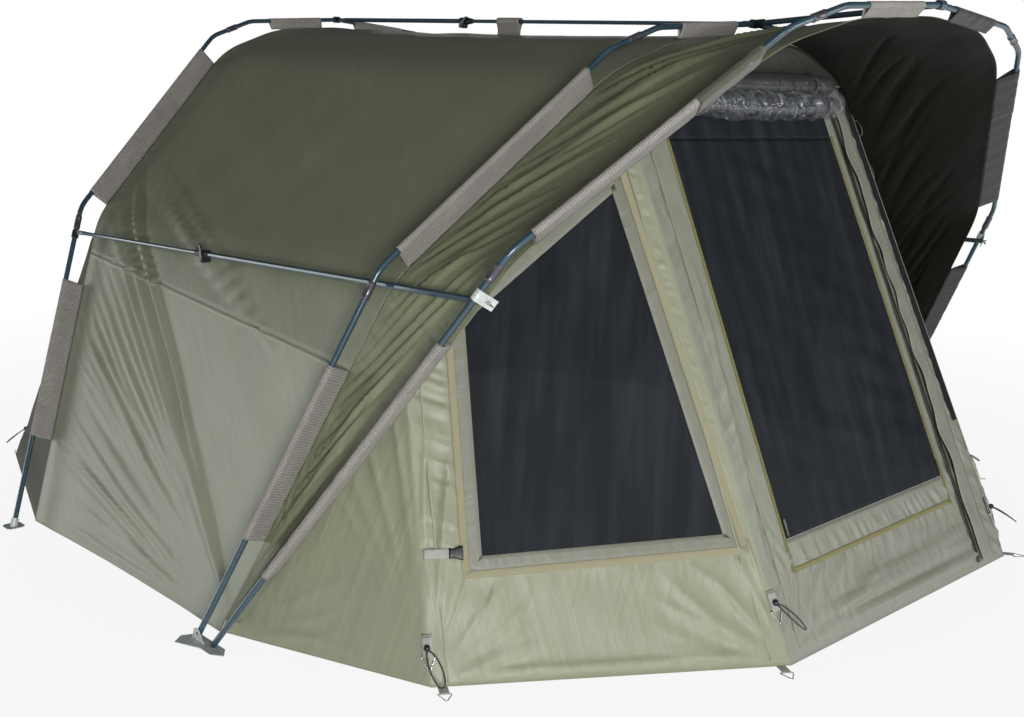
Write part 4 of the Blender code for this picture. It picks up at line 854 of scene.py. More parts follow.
class BivvyColours(bpy.types.PropertyGroup):
    """Colours of the cloth and fittings."""
    # Roof, flank, peak, front and door are one olive cloth. Their different tones are painted light
    # and shade for how the lamps fall on each zone: the roof and peak darker, the flanks and front
    # lighter.
    roof: colour_property("Roof", "#7d836b", "Cloth of the roof panel")
    flank: colour_property("Flank", "#9ba18c", "Cloth of the side walls")
    peak: colour_property("Peak", "#7c8165", "Cloth of the peak")
    front: colour_property("Front", "#95987f", "Cloth of the front wall")
    door: colour_property("Door", "#8b8e7f", "Cloth of the door panel")
    # The inner face's near black is the proofing's own dark colour, darkened further as painted
    # shade inside the tent.
    inside: colour_property("Inside", "#0f120a", "Proofed inner face of the cloth")
    border: colour_property("Border", "#7f8072", "Facing round the windows")
    tape: colour_property("Tape", "#b6b18e", "Tape round the windows")
    zip: colour_property("Zip", "#8f8a48", "Zip coil and its tape")
    sleeve: colour_property("Sleeve", "#a9a49e", "Pole sleeves")
    pole: colour_property("Pole", "#2e4753", "Painted tube")
    ferrule: colour_property("Ferrule", "#433f49", "Ferrules on the poles")
    webbing: colour_property("Webbing", "#c8c8bf", "Webbing of the pegging points")
    netting: colour_property("Netting", "#1d2024", "Insect mesh")


class BivvyStage(bpy.types.PropertyGroup):
    """Camera, lamps and floor."""
    lens: FloatProperty(name="Lens", description="Focal length on a 36 mm wide sensor",
                        default=42.43, min=10.0)
    key: FloatProperty(name="Key lamp", description="Power of the lamp at the front left",
                       default=325.0, min=0.0, subtype="POWER")
    side: FloatProperty(name="Side", description="Power of the lamp that rakes the left flank",
                        default=95.0, min=0.0)
    fill: FloatProperty(name="Fill lamp", description="Power of the lamp at the front right",
                        default=120.0, min=0.0, subtype="POWER")
    sky: FloatProperty(name="Sky", description="Strength of the even light from all round",
                       default=0.11, min=0.0)
    sides: IntProperty(name="Tube sides", description="Facets round each pole", default=20, min=8)


# Maker, material name, then its other values: a colour is a hex code or a scene colour's name
RECIPES = {
    # The roof, flank, peak, front and door finishes are one cloth in tones that paint light and
    # shade.
    "roof": (coated_nylon, "Roof proofed nylon", "roof", 1.1, 0.0012),
    "flank": (coated_nylon, "Flank proofed nylon", "flank", 0.9, 0.0018),
    # Painted shade: the rear wall is the same olive cloth, darkened where it lies away from the
    # lamps.
    "rear": (coated_nylon, "Rear proofed nylon", "#4d5040", 0.3),
    # Painted shade: the rear shoulders' cloth, darkened where it lies in shade.
    "shaded": (cloth_back, "Shaded proofed nylon", "#3e4233"),
    "peak": (coated_nylon, "Peak proofed nylon", "peak", 0.7, 0.004),
    "front": (coated_nylon, "Front proofed nylon", "front", 1.35),
    "door": (coated_nylon, "Door proofed nylon", "door", 1.4),
    # Inner face: the proofing's own dark colour, darkened further as painted shade.
    "inside": (cloth_back, "Proofed inner face", "inside"),
    "border": (coated_nylon, "Window facing", "border", 0.2, 0.003),
    "tape": (webbing_weave, "Grosgrain tape", "tape"),
    "olive_tape": (webbing_weave, "Olive tie tape", "#5d604c"),
    "zip": (zip_coil, "Zip coil", "zip"),
    "sleeve": (sleeve_weave, "Woven sleeve", "sleeve"),
    # Painted shade: the same woven sleeve, painted near black where the front hoop's right side
    # lies in shade.
    "shaded_sleeve": (sleeve_weave, "Black woven sleeve", "#161617"),
    "header": (coated_nylon, "Header proofed nylon", "#23251d", 0.4, 0.003),
    "pole": (painted_tube, "Powder coated tube", "pole"),
    "ferrule": (painted_tube, "Swaged ferrule", "ferrule"),
    "webbing": (webbing_weave, "Ribbed webbing", "webbing"),
    "netting": (insect_mesh, "Insect mesh", "netting", "#41474f"),
    "rolled": (coated_nylon, "Rolled door nylon", "#3a3d3c", 0.2, 0.004),
    # Painted reflection: the inner turns are dark blue-grey, for the dark reflections in the rolled
    # film.
    "inner_film": (clear_film, "Inner turns of film", "#1d232d", 0.95),
    "film": (clear_film, "Rolled clear film", "#e8eef8", 0.34),
    # The zinc's pale grey is its own colour, made paler still as painted light on the fittings'
    # upturned faces, which the low lamps barely reach.
    "zinc": (galvanised_steel, "Galvanised sheet", "#ccd3cf"),
    "steel": (polished_steel, "Drawn steel wire", "#b9bab8"),
    "plastic": (moulded_nylon, "Moulded nylon", "#17181b"),
    "elastic": (braided_cord, "Braided elastic", "#1c2022"),
}
FINISHES = {}


def finish(name):
    """The named finish, made once from its recipe."""
    if name not in FINISHES:
        maker, label, *values = RECIPES[name]
        colours = bpy.context.scene.bivvy_colours
        for number, value in enumerate(values):
            if isinstance(value, str):
                values[number] = paint(value) if value[0] == "#" else getattr(colours, value)
        FINISHES[name] = maker(label, *values)
    return FINISHES[name]


def lined(name, patches, key, cloth):
    """Proofed cloth: its finish outside, the inner face within."""
    return sew(name, patches, [finish(key), finish("inside")], cloth.thickness)


# How a piece moves

def ride(obj, body):
    """Lets a piece move with a body."""
    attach(obj, body)
    return obj


def lean_with_frame(obj):
    """Cloth sewn to the frame: its place is baked into its mesh.
    """
    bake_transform(obj)
    return obj


def declare_cloth(patches, size=None):
    """Works out the cloth's cut: its size, or the longest row by the longest column, and its area;
    it keeps none of them.
    """
    rows = max(np.linalg.norm(np.diff(p.points, axis=1), axis=-1).sum(1).max() for p in patches)
    columns = max(np.linalg.norm(np.diff(p.points, axis=0), axis=-1).sum(0).max() for p in patches)
    rows, columns = size if size is not None else (rows, columns)
    area = sum(patch.area() for patch in patches)


# Poles and sleeves

class BIVVY_OT_poles(bpy.types.Operator):
    """Adds the tubes and ferrules of the three hoops"""
    bl_idname = "bivvy.poles"
    bl_label = "Poles"

    def execute(self, context):
        for name, hoop in HOOPS.items():
            pole = hoop.pole()
            marks = pole.marks
            body = HOOP_BODY[name]
            joints = [marks[HIP_L] - FERRULE_BELOW_HIP, (marks[BROW_L] + marks[CREST_L]) / 2,
                      (marks[CREST_R] + marks[BROW_R]) / 2, marks[HIP_R] + FERRULE_BELOW_HIP]
            stops = [FOOT_GAP[name]] + joints + [marks[-1] - FOOT_GAP[name]]
            parts = ("left_leg", "left_shoulder", "crown", "right_shoulder", "right_leg")
            for part, start, end in zip(parts, stops, stops[1:]):
                metres = np.linspace(start, end, max(8, int((end - start) / POLE_STEP)))
                obj = tube(f"{name}_{part}_tube", pole.along(metres), POLE_RADIUS, hoop.back,
                           [finish("pole")], context.scene.bivvy_stage.sides)
                ride(obj, body)
                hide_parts(f"{name}_{part}_pole")
            for number, middle in enumerate(joints):
                self.ferrule(f"{name}_ferrule_{number + 1}", pole, middle, hoop, body)
        return {"FINISHED"}

    def ferrule(self, name, pole, middle, hoop, body):
        """A swaged sleeve with chamfered ends and a rolled bead near each end."""
        share = np.array([0.74, 0.80, 0.86, 0.93, 0.99, 1.0])
        proud = np.array([1.0, 1.25, 1.0, 1.0, 0.6, 0.0])
        share, proud = np.append(-share[::-1], share), np.append(proud[::-1], proud)
        radii = POLE_RADIUS * 0.98 + (FERRULE_RADIUS - POLE_RADIUS) * proud
        obj = tube(name, pole.along(middle + share * FERRULE_HALF), radii, hoop.back,
                   [finish("ferrule")])
        ride(obj, body)


def sleeve(hoop, start, end, tip, grow=0.0, turn=0.0):
    """Cloth wrapped round a straight stretch of pole and stitched into a flat tail.

    The profile is a drop: two straight lines from the tail's tip to a circle round the pole.
    Along the pole the tail's tip waves a little and the layers gape between stitches. The tail
    may turn back from the hoop's plane, as the peak's cloth pulls it.
    """
    length = np.linalg.norm(end - start)
    ahead = (end - start) / length
    inward = np.cross(ahead, hoop.back)
    inward *= np.sign(inward @ (hoop.world((0, hoop.flat[HIP_L][1])) - start)) or 1.0
    inward, back = (inward * math.cos(turn) + hoop.back * math.sin(turn),
                    hoop.back * math.cos(turn) - inward * math.sin(turn))
    radius = POLE_RADIUS + SLEEVE_EASE + grow
    touch = math.acos(radius / tip)
    round_pole = np.linspace(touch, 2 * np.pi - touch, 22)
    leg = np.linspace(1, 0, 8)[:-1, None]
    edge = SLEEVE_WALL + grow
    first = radius * np.array([math.cos(touch), math.sin(touch)])
    drop = np.vstack([leg * [tip, edge] + (1 - leg) * first,
                      np.stack([radius * np.cos(round_pole), radius * np.sin(round_pole)], 1),
                      (leg * [tip, -edge] + (1 - leg) * first * [1, -1])[::-1]])
    count = max(6, int(length / 0.010))
    h = np.linspace(0, length, count)
    seed = int(abs(start[0]) * 1000) % 97
    slack = wander(h / 0.09, seed)[:, None] * 0.0008
    tail = drop[None, :, 0] > radius
    reach = drop[None, :, 0] + tail * wander(h / 0.05, seed + 3)[:, None] * 0.0006
    thick = drop[None, :, 1] * (1 + 0.10 * wander(h / 0.06, seed + 5)[:, None])
    points = (start + h[:, None, None] * ahead + reach[..., None] * inward
              + (thick + slack * tail)[..., None] * back)
    metres = lengths(drop)
    flat = np.stack(np.broadcast_arrays(metres[None, :], h[:, None]), -1)
    return Patch(points, flat, start + ahead * length / 2)


def sleeve_ends(hoop, above_foot):
    """Ends of the six sleeved stretches of a hoop: leg, shoulder and crown on each side."""
    corners = hoop.corners
    for side, order in (("left", range(HEM_L, CROWN + 1)), ("right", range(HEM_R, CROWN - 1, -1))):
        foot, hip, brow, crest, crown = corners[list(order)]
        yield f"{side}_leg", toward(foot, hip, above_foot), toward(hip, foot, SLEEVE_BELOW_HIP)
        yield (f"{side}_shoulder", toward(hip, brow, SLEEVE_ABOVE_HIP),
               toward(brow, hip, SLEEVE_BELOW_BROW))
        yield (f"{side}_crown", toward(crown, crest, CENTRE_SLEEVE_OUTER),
               toward(crown, crest, CENTRE_SLEEVE_INNER))


class BIVVY_OT_sleeves(bpy.types.Operator):
    """Adds the woven sleeves that hang the cloth from the poles"""
    bl_idname = "bivvy.sleeves"
    bl_label = "Sleeves"

    def execute(self, context):
        for name, hoop in HOOPS.items():
            for part, start, end in sleeve_ends(hoop, SLEEVE_ABOVE_FOOT[name]):
                tip = WALL_INSET - 0.0006 if "crown" not in part else CROWN_INSET + 0.003
                # The front hoop's right sleeves take the near black finish as painted shade.
                shaded = name == "front" and part in ("right_shoulder", "right_leg", "right_crown")
                turned = name == "front" and "crown" not in part
                patch = sleeve(hoop, start, end, tip, turn=TAIL_TURN if turned else 0.0)
                obj = sew(f"{name}_{part}_sleeve", [patch],
                          [finish("shaded_sleeve" if shaded else "sleeve")], SLEEVE_WALL)
                ride(obj, HOOP_BODY[name])
        for name, side in SIDES:
            hip, brow = FRONT.corners[[on_side(HIP_L, side), on_side(BROW_L, side)]]
            patch = sleeve(FRONT, toward(brow, hip, SLEEVE_BELOW_BROW + 0.19),
                           toward(brow, hip, SLEEVE_BELOW_BROW - 0.004), WALL_INSET, 0.0014,
                           TAIL_TURN)
            obj = sew(f"front_{name}_sleeve_cap", [patch],
                      [finish("olive_tape" if side < 0 else "shaded_sleeve")], SLEEVE_WALL)
            ride(obj, "front_frame")
        return {"FINISHED"}


# Canopy, peak and rear wall

class Bay:
    """Cloth ruled between two hoops' seams: (1 - t) a(u) + t b(u), u counted by corners."""

    def __init__(self, first, second):
        self.first, self.second = first, second

    def points(self, u, t):
        """World points at corner shares u and bay shares t."""
        return self.first.at(u) * (1 - t[..., None]) + self.second.at(u) * t[..., None]

    def flat(self, u, t):
        """Metres across from the first seam, and metres along from the left hem."""
        across = np.linalg.norm(self.first.at(u) - self.second.at(u), axis=-1) * t
        along = (self.first.length_at(u) + self.second.length_at(u)) / 2
        return np.stack([across, along], -1)

    def total(self):
        """Metres from hem to hem, the mean of the two seams."""
        return (self.first.marks[-1] + self.second.marks[-1]) / 2

    def patch(self, u, t, centre):
        """A grid of the bay's points that looks away from a centre."""
        return Patch(self.points(u, t), self.flat(u, t), centre)


CANOPY = Bay(REAR.seam(), MIDDLE.seam())
PEAK = Bay(MIDDLE.seam(SEAM_INSET, PEAK_HEM_LIFT),
           FRONT.seam(SEAM_INSET * math.cos(TAIL_TURN), PEAK_HEM_LIFT,
                      SEAM_INSET * math.sin(TAIL_TURN)))


def mirrored_folds(relief, bay, flat, u):
    """A bay's relief from the left hem, run over the crown into its mirror from the right hem."""
    other = flat.copy()
    other[..., 1] = bay.total() - other[..., 1]
    share = ease((u - CROWN_FROM) / CROWN_OVER)
    return (1 - share) * relief(flat) + share * relief(other)


def flank_seam_share(t):
    """Corner share of the sewn line between flank and roof: it slopes down to the front."""
    return REAR_SEAM_SHARE + (MIDDLE_SEAM_SHARE - REAR_SEAM_SHARE) * t


def canopy_relief(at, t, cloth):
    """Folds of the canopy's lower half, drawn towards the front foot."""
    height = cloth.folds
    foot = np.array([1.25, -0.05])
    total = np.zeros(at.shape[:-1])
    rng = np.random.default_rng(12)
    for low in np.linspace(0.22, 1.10, 23):
        start = np.array([0.030, low + rng.uniform(-0.012, 0.012)])
        end = start + (foot - start) * rng.uniform(0.35, 0.75)
        total += fold(at, start, end, rng.uniform(0.012, 0.020), height * rng.uniform(0.35, 0.95),
                      rng.uniform(-0.02, 0.02))
    for low, reach, wide, deep in ((1.26, 0.80, 0.030, 1.9), (1.20, 0.72, 0.022, -1.7),
                                   (1.30, 0.84, 0.026, -1.3), (1.14, 0.88, 0.024, 1.4),
                                   (1.06, 0.94, 0.026, 1.5), (0.96, 0.97, 0.024, 1.1)):
        start = np.array([0.014, low])
        total += fold(at, start, start + (foot - start) * reach, wide, height * deep, 0.015)
    for low, far, low_end in ((1.33, 1.02, 0.84), (1.29, 0.80, 0.90), (1.24, 1.15, 0.74)):
        total += fold(at, (0.014, low), (far, low_end), 0.017, height * 0.9, 0.02)
    for start, rise, reach in ((0.10, 0.045, 1.0), (0.25, 0.085, 0.95), (0.16, 0.12, 0.8)):
        total += fold(at, (start, rise), (reach, rise * 0.5), 0.014, height * 0.5, -0.006)
    total += gathers(at, (0, 0.22), (0, 0.95), 0.06, 0.030, cloth.puckers * 1.7, 3, slant=1.2)
    total += gathers(at, (0, 1.1), (0, 1.7), 0.05, 0.030, cloth.puckers * 1.4, 9, slant=0.6)
    from_front = np.stack([at[..., 0] / np.maximum(t, 1e-3) * (1 - t), at[..., 1]], -1)
    total += gathers(from_front, (0, 0.2), (0, 1.9), 0.05, 0.035, cloth.puckers * 0.8, 21,
                     slant=-0.8)
    total += billow(at, 0.45, 0.004, 31)
    return total


def canopy_height(flat, u, t, cloth):
    """Sag between the hoops plus the folds, still at the two seams."""
    folds = mirrored_folds(lambda at: canopy_relief(at, t, cloth), CANOPY, flat, u)
    hold = ease((np.minimum(t, 1 - t) - 0.008) / 0.040)
    return folds * hold - cloth.sag * 4 * t * (1 - t)


class BIVVY_OT_canopy(bpy.types.Operator):
    """Adds the two flanks and the roof between the rear and middle hoops"""
    bl_idname = "bivvy.canopy"
    bl_label = "Canopy"

    def execute(self, context):
        cloth = context.scene.bivvy_cloth
        t = np.linspace(0, 1, int(1.55 / cloth.cell))[None, :]
        seam = flank_seam_share(t)
        rows = np.linspace(0, 1, int(0.85 / cloth.cell))[:, None]
        for name, side in SIDES:
            u, wide = np.broadcast_arrays(on_side(rows * seam, side), t)
            obj = self.panel(f"{name}_flank", u, wide, "flank", cloth)
            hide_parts(f"canopy_{name}_wall")
            self.seam_tape(name, side, cloth)
        rows = np.linspace(0, 1, int(2.4 / cloth.cell))[:, None]
        u, wide = np.broadcast_arrays(seam + (HEM_R - 2 * seam) * rows, t)
        obj = self.panel("roof", u, wide, "roof", cloth)
        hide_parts("canopy_roof")
        self.ridge_loop()
        return {"FINISHED"}

    def panel(self, name, u, t, colour, cloth):
        """A stretch of the canopy, raised by its folds."""
        patch = CANOPY.patch(u, t, ROOM_CENTRE)
        patch.raised(canopy_height(patch.flat, u, t, cloth))
        obj = lined(name, [patch], colour, cloth)
        declare_cloth([patch])
        return lean_with_frame(obj)

    def seam_tape(self, name, side, cloth):
        """A felled seam: a narrow lap of cloth that stands a little proud of both panels."""
        t = np.linspace(0.002, 0.998, 140)[None, :]
        lap = np.array([-0.008, -0.0074, 0.0, 0.0074, 0.008])[:, None]
        u, wide = np.broadcast_arrays(on_side(flank_seam_share(t), side) + lap, t)
        patch = CANOPY.patch(u, wide, ROOM_CENTRE)
        proud = np.array([-0.0006, 0.0009, 0.0013, 0.0009, -0.0006])[:, None]
        patch.raised(canopy_height(patch.flat, u, wide, cloth) + proud)
        obj = sew(f"{name}_flank_seam", [patch], [finish("flank")], 0.0005)
        lean_with_frame(obj)

    def ridge_loop(self):
        """Cloth loop that ties the roof's middle to the ridge bar."""
        rear, middle = REAR.corners[CROWN], MIDDLE.corners[CROWN]
        ahead = unit(middle - rear)
        up = np.cross(X, ahead)
        up = up if up[2] > 0 else -up
        centre = (rear + middle) / 2
        a = np.linspace(math.radians(-60), math.radians(240), 20)
        wrap = np.stack([LOOP_RADIUS * np.cos(a), LOOP_RADIUS * np.sin(a)], 1)
        tail = np.array([(0.0012, -0.056), (0.0014, -0.03)])
        profile = np.vstack([tail, wrap, tail[::-1] * (-1, 1)])
        h = np.linspace(-LOOP_HALF, LOOP_HALF, 14)
        points = (centre + h[:, None, None] * ahead + profile[None, :, :1] * X
                  + profile[None, :, 1:] * up)
        flat = np.stack(np.broadcast_arrays(lengths(profile)[None, :], h[:, None]), -1)
        obj = sew("ridge_loop", [Patch(points, flat, centre)], [finish("sleeve")], 0.001)
        lean_with_frame(obj)


def peak_relief(at, cloth):
    """Slanting folds of the peak, from the front hoop down to the middle hoop's sleeves."""
    height = cloth.folds
    total = np.zeros(at.shape[:-1])
    rng = np.random.default_rng(8)
    for low in np.linspace(0.03, 1.75, 27):
        rise = rng.uniform(0.34, 0.52)
        wide = (0.06 + 0.25 * min(low + rise, 1.4)) * rng.uniform(0.55, 1.0)
        total += fold(at, (0.004, low), (wide, low + rise), rng.uniform(0.010, 0.017),
                      height * rng.uniform(0.35, 0.95), rng.uniform(-0.015, 0.015))
    total += gathers(at, (0, 0.3), (0, 2.0), 0.05, 0.035, cloth.puckers * 1.4, 4, slant=-1.2)
    total += billow(at, 0.30, 0.003, 14)
    return total


class BIVVY_OT_peak(bpy.types.Operator):
    """Adds the peak between the middle and front hoops"""
    bl_idname = "bivvy.peak"
    bl_label = "Peak"

    def execute(self, context):
        cloth = context.scene.bivvy_cloth
        rows = np.linspace(HEM_L, HEM_R, int(4.3 / cloth.cell))[:, None]
        u, t = np.broadcast_arrays(rows, np.linspace(0, 1, int(0.52 / cloth.cell))[None, :])
        patch = PEAK.patch(u, t, PORCH_CENTRE)
        folds = mirrored_folds(lambda at: peak_relief(at, cloth), PEAK, patch.flat, u)
        hold = ease_ends(t, 0.12) * ease(u / 0.2) * ease((HEM_R - u) / 0.2)
        patch.raised(folds * hold - 0.006 * 4 * t * (1 - t) * hold)
        obj = lined("peak", [patch], "peak", cloth)
        declare_cloth([patch])
        ride(obj, "front_frame")
        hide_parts("peak_hood")
        return {"FINISHED"}


def ruled(one, other, columns):
    """Points of the surface ruled between two lines: (1 - t) a + t b."""
    t = np.linspace(0, 1, columns)[None, :, None]
    return one[:, None] * (1 - t) + other[:, None] * t


class BIVVY_OT_rear_wall(bpy.types.Operator):
    """Adds the rear wall: a centre panel, two shoulders and a header"""
    bl_idname = "bivvy.rear_wall"
    bl_label = "Rear wall"

    def execute(self, context):
        cloth = context.scene.bivvy_cloth
        seam = REAR.seam(WALL_INSET)
        low = {side: hem_corner(CORNER_E_HALF - REAR_CORNER_IN, CORNER_E_Y, side)
               for _, side in SIDES}
        brows = {side: seam.at(float(on_side(BROW_L, side))) for _, side in SIDES}
        rows = int(1.6 / cloth.cell)
        wide = int(2.6 / cloth.cell / 1.6)
        folds = [span(brows[side], low[side], rows) for _, side in SIDES]
        patches = [self.patch(ruled(*folds, wide), 1, cloth)]
        top = seam.at(np.linspace(BROW_L, BROW_R, wide))
        patches.append(self.patch(ruled(span(brows[-1], brows[1], wide), top, 12), 2, cloth))
        for name, side in SIDES:
            edge = seam.at(np.linspace(on_side(BROW_L, side), on_side(HEM_L, side), 70))
            corner = np.broadcast_to(low[side], edge.shape)
            self.shoulder(name, self.patch(ruled(edge, corner, rows), 3, cloth, 0.25), cloth)
        # The rear finish is darkened as painted shade.
        obj = lined("rear_wall_cloth", patches, "rear", cloth)
        declare_cloth(patches)
        ride(obj, "shelter")
        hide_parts("rear_wall")
        return {"FINISHED"}

    def shoulder(self, name, patch, cloth):
        """The panel between a rear pole and the wall's corner, which lies in shade: its cloth is
        darkened as painted shade.
        """
        obj = lined(f"rear_{name}_shoulder_cloth", [patch], "shaded", cloth)
        length = np.linalg.norm(np.diff(patch.points, axis=1), axis=-1).sum(1).max()
        declare_cloth([patch], size=(2 * patch.area() / length, length))
        ride(obj, "shelter")

    def patch(self, points, seed, cloth, share=1.0):
        """Soft folds that run up the wall, still along its edges and folds."""
        origin, across = points[0, 0], unit(points[0, -1] - points[0, 0] + 1e-9)
        flat = np.stack([(points - origin) @ across, (points - origin)[..., 2]], -1)
        patch = Patch(points, flat, ROOM_CENTRE)
        rows, columns = points.shape[:2]
        r = np.linspace(0, 1, rows)[:, None]
        c = np.linspace(0, 1, columns)[None, :]
        upright = wander(flat[..., 0] / 0.16 + flat[..., 1] * 0.7, seed + 9) * cloth.folds * 0.5
        height = billow(flat, 0.5, 0.010, seed) + upright
        return patch.raised(height * (ease_ends(r, 0.08) * ease_ends(c, 0.08)) * share)


# Front wall

def loop(corners, counts):
    """Points round an outline, each side divided into its own count."""
    return np.vstack([span(a, b, count, False)
                      for a, b, count in zip(corners, np.roll(corners, -1, axis=0), counts)])


def ring_patch(wall, hole, outline, rows):
    """Band of cloth between a hole and an outline of as many points."""
    t = np.linspace(0, 1, rows)[:, None, None]
    points = hole[None] * (1 - t) + outline[None] * t
    return Patch(points, wall.flat(points), ROOM_CENTRE, closed=True)


def steps_along(corners, step, least=1):
    """How many steps fit along each side of an outline."""
    return [max(least, int(np.linalg.norm(b - a) / step))
            for a, b in zip(corners, np.roll(corners, -1, axis=0))]


def frame_strap(name, wall, corners, grow, width, thickness, lift, materials):
    """A band round a four cornered opening, its corners moved out by grow."""
    moved = grown(corners, grow)
    path = loop(moved, steps_along(moved, 0.012, 2))
    return strap(name, wall.place(path, lift), wall.out, width, thickness, materials, closed=True)


def pane(corners, count):
    """Flat places over a four cornered opening, their shares, and a hold that is 0 at its edges.

    A place is (1 - t) ((1 - s) a + s b) + t ((1 - s) d + s c).
    """
    s, t = np.meshgrid(np.linspace(0, 1, count), np.linspace(0, 1, count))
    a, b, c, d = corners
    at = ((a * (1 - s[..., None]) + b * s[..., None]) * (1 - t[..., None])
          + (d * (1 - s[..., None]) + c * s[..., None]) * t[..., None])
    return at, s, t, ease(np.minimum(np.minimum(s, 1 - s), np.minimum(t, 1 - t)) / 0.06)


def grown(corners, distance):
    """Outline whose sides are moved outward by a distance."""
    corners = np.asarray(corners, float)
    run = unit(np.roll(corners, -1, axis=0) - corners)
    turn = np.sign(sum(a[0] * b[1] - a[1] * b[0]
                       for a, b in zip(corners, np.roll(corners, -1, axis=0))))
    moved = corners + np.stack([run[:, 1], -run[:, 0]], 1) * distance * turn
    result = []
    for k in range(len(corners)):
        p, u, q, w = moved[k - 1], run[k - 1], moved[k], run[k]
        gap = q - p
        reach = (gap[0] * w[1] - gap[1] * w[0]) / (u[0] * w[1] - u[1] * w[0])
        result.append(p + u * reach)
    return np.array(result)


def front_seam():
    """Edge of the front wall on the middle hoop."""
    return MIDDLE.seam(WALL_INSET)


def window_relief(at, wall, hole, cloth):
    """Puckers outside the tape, folds from the hem corners and a slack hem."""
    a, b = wall.flat_corners[:2]
    border = grown(hole, BORDER)
    height = cloth.folds
    total = np.zeros(at.shape[:-1])
    for k in range(4):
        total += gathers(at, border[k], border[(k + 1) % 4], 0.060, 0.034, cloth.puckers * 1.4,
                         40 + k, slant=0.4)
    total += fan(at, b, np.linspace(97, 112, 5), 0.10, 0.95, 0.018, height * 0.8, 17)
    total += fan(at, b, np.linspace(125, 170, 6), 0.06, 0.40, 0.014, height * 0.6, 18)
    total += fan(at, a, np.linspace(70, 88, 4), 0.08, 0.75, 0.016, height * 0.7, 19)
    total += fan(at, a, np.linspace(8, 50, 5), 0.06, 0.35, 0.012, height * 0.5, 20)
    total += fold(at, a + [0.05, 0.022], b + [-0.04, 0.026], 0.013, height * 0.8)
    return total + billow(at, 0.25, 0.003, 23)


def border_mask(at, hole, border):
    """1 on the loose cloth outside the border, 0 on the flat facing next to the opening."""
    distance = edge_distance(at, hole)
    return ease((distance - border - 0.012) / 0.025)


class BIVVY_OT_front_panels(bpy.types.Operator):
    """Adds the window panels with their gussets, windows, facings and tapes"""
    bl_idname = "bivvy.front_panels"
    bl_label = "Front panels"

    def execute(self, context):
        cloth = context.scene.bivvy_cloth
        for name, side in SIDES:
            wall = WINDOWS[side]
            hole = np.array([wall.spot(shares) for shares in WINDOW_SHARES])
            self.panel(name, side, wall, hole, cloth)
            self.window(name, wall, hole, cloth)
        return {"FINISHED"}

    def panel(self, name, side, wall, hole, cloth):
        """The cloth round the window and the gusset beside it, sewn as one piece."""
        seam = front_seam()
        outer, inner = wall.corners[:2]
        hip_share, brow_share = on_side(HIP_L, side), on_side(BROW_L, side)
        hip, brow = seam.at(float(hip_share)), seam.at(float(brow_share))
        counts = steps_along(np.array([outer, inner, brow, hip]), cloth.cell)
        top = seam.at(np.linspace(brow_share, hip_share, counts[2], endpoint=False))
        outline = np.vstack([span(outer, inner, counts[0], False),
                             span(inner, brow, counts[1], False), top,
                             span(hip, outer, counts[3], False)])
        patch = ring_patch(wall, wall.place(loop(hole, counts)), outline, 26)
        fade = ease(edge_distance(patch.flat, wall.flat_corners) / EDGE_FADE)
        patch.raised(window_relief(patch.flat, wall, hole, cloth)
                     * border_mask(patch.flat, hole, BORDER) * fade)
        leg = seam.at(np.linspace(hip_share, on_side(HEM_L, side), counts[3] + 1))
        gusset, width = self.gusset(span(hip, outer, counts[3] + 1), leg, cloth)
        obj = lined(f"{name}_front_cloth", [patch, gusset], "front", cloth)
        size = np.ptp(patch.flat.reshape(-1, 2), axis=0) + (width, 0)
        declare_cloth([patch, gusset], size=size)
        lean_with_frame(obj)
        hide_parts(f"{name}_front_panel")

    def gusset(self, edge, leg, cloth):
        """Cloth between the window panel's outer edge and the pole's leg, with its hem's width."""
        points = ruled(edge, leg, 46)
        outer = edge[-1]
        width = np.linalg.norm(leg[-1] - outer)
        flat = np.stack([(points - outer) @ unit(leg[-1] - outer), points[..., 2]], -1)
        height = cloth.folds
        relief = fan(flat, (0.0, 0.0), np.linspace(48, 84, 6), 0.10, 0.85, 0.016, height * 0.32, 51)
        relief += fan(flat, (width, 0.0), np.linspace(150, 175, 4), 0.10, 0.45, 0.014,
                      height * 0.3, 52)
        relief += billow(flat, 0.3, 0.004, 53)
        r = np.linspace(0, 1, points.shape[0])[:, None]
        c = np.linspace(0, 1, points.shape[1])[None, :]
        hold = ease_ends(c, 0.08) * ease_ends(r, 0.05, 1.02)
        return Patch(points, flat, ROOM_CENTRE).raised(relief * hold), width

    def window(self, name, wall, hole, cloth):
        """Mesh pane, facing and tape; the mesh hangs a little slack in its opening."""
        corners = grown(hole, 0.004)
        at, s, t, hold = pane(corners, 60)
        patch = Patch(wall.place(at), at, ROOM_CENTRE)
        slack = billow(at, 0.22, 0.004, 61)
        slack += fan(at, corners[0], (35, 48, 60, 72), 0.2, 0.9, 0.03, 0.004, 62)
        patch.raised(-0.003 * np.sin(np.pi * s) * np.sin(np.pi * t) + slack * hold - 0.0008)
        obj = sew(f"{name}_window_net", [patch], [finish("netting")], NET_WALL)
        declare_cloth([patch])
        ride(obj, "shelter")
        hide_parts(f"{name}_window_mesh")
        facing = frame_strap(f"{name}_window_facing", wall, hole, BORDER / 2 - 0.002, BORDER,
                             0.0016, 0.0006, [finish("border")])
        ride(facing, "shelter")
        tape = frame_strap(f"{name}_window_tape", wall, hole, BORDER + 0.004, cloth.tape, 0.0022,
                           0.0018, [finish("tape")])
        ride(tape, "shelter")


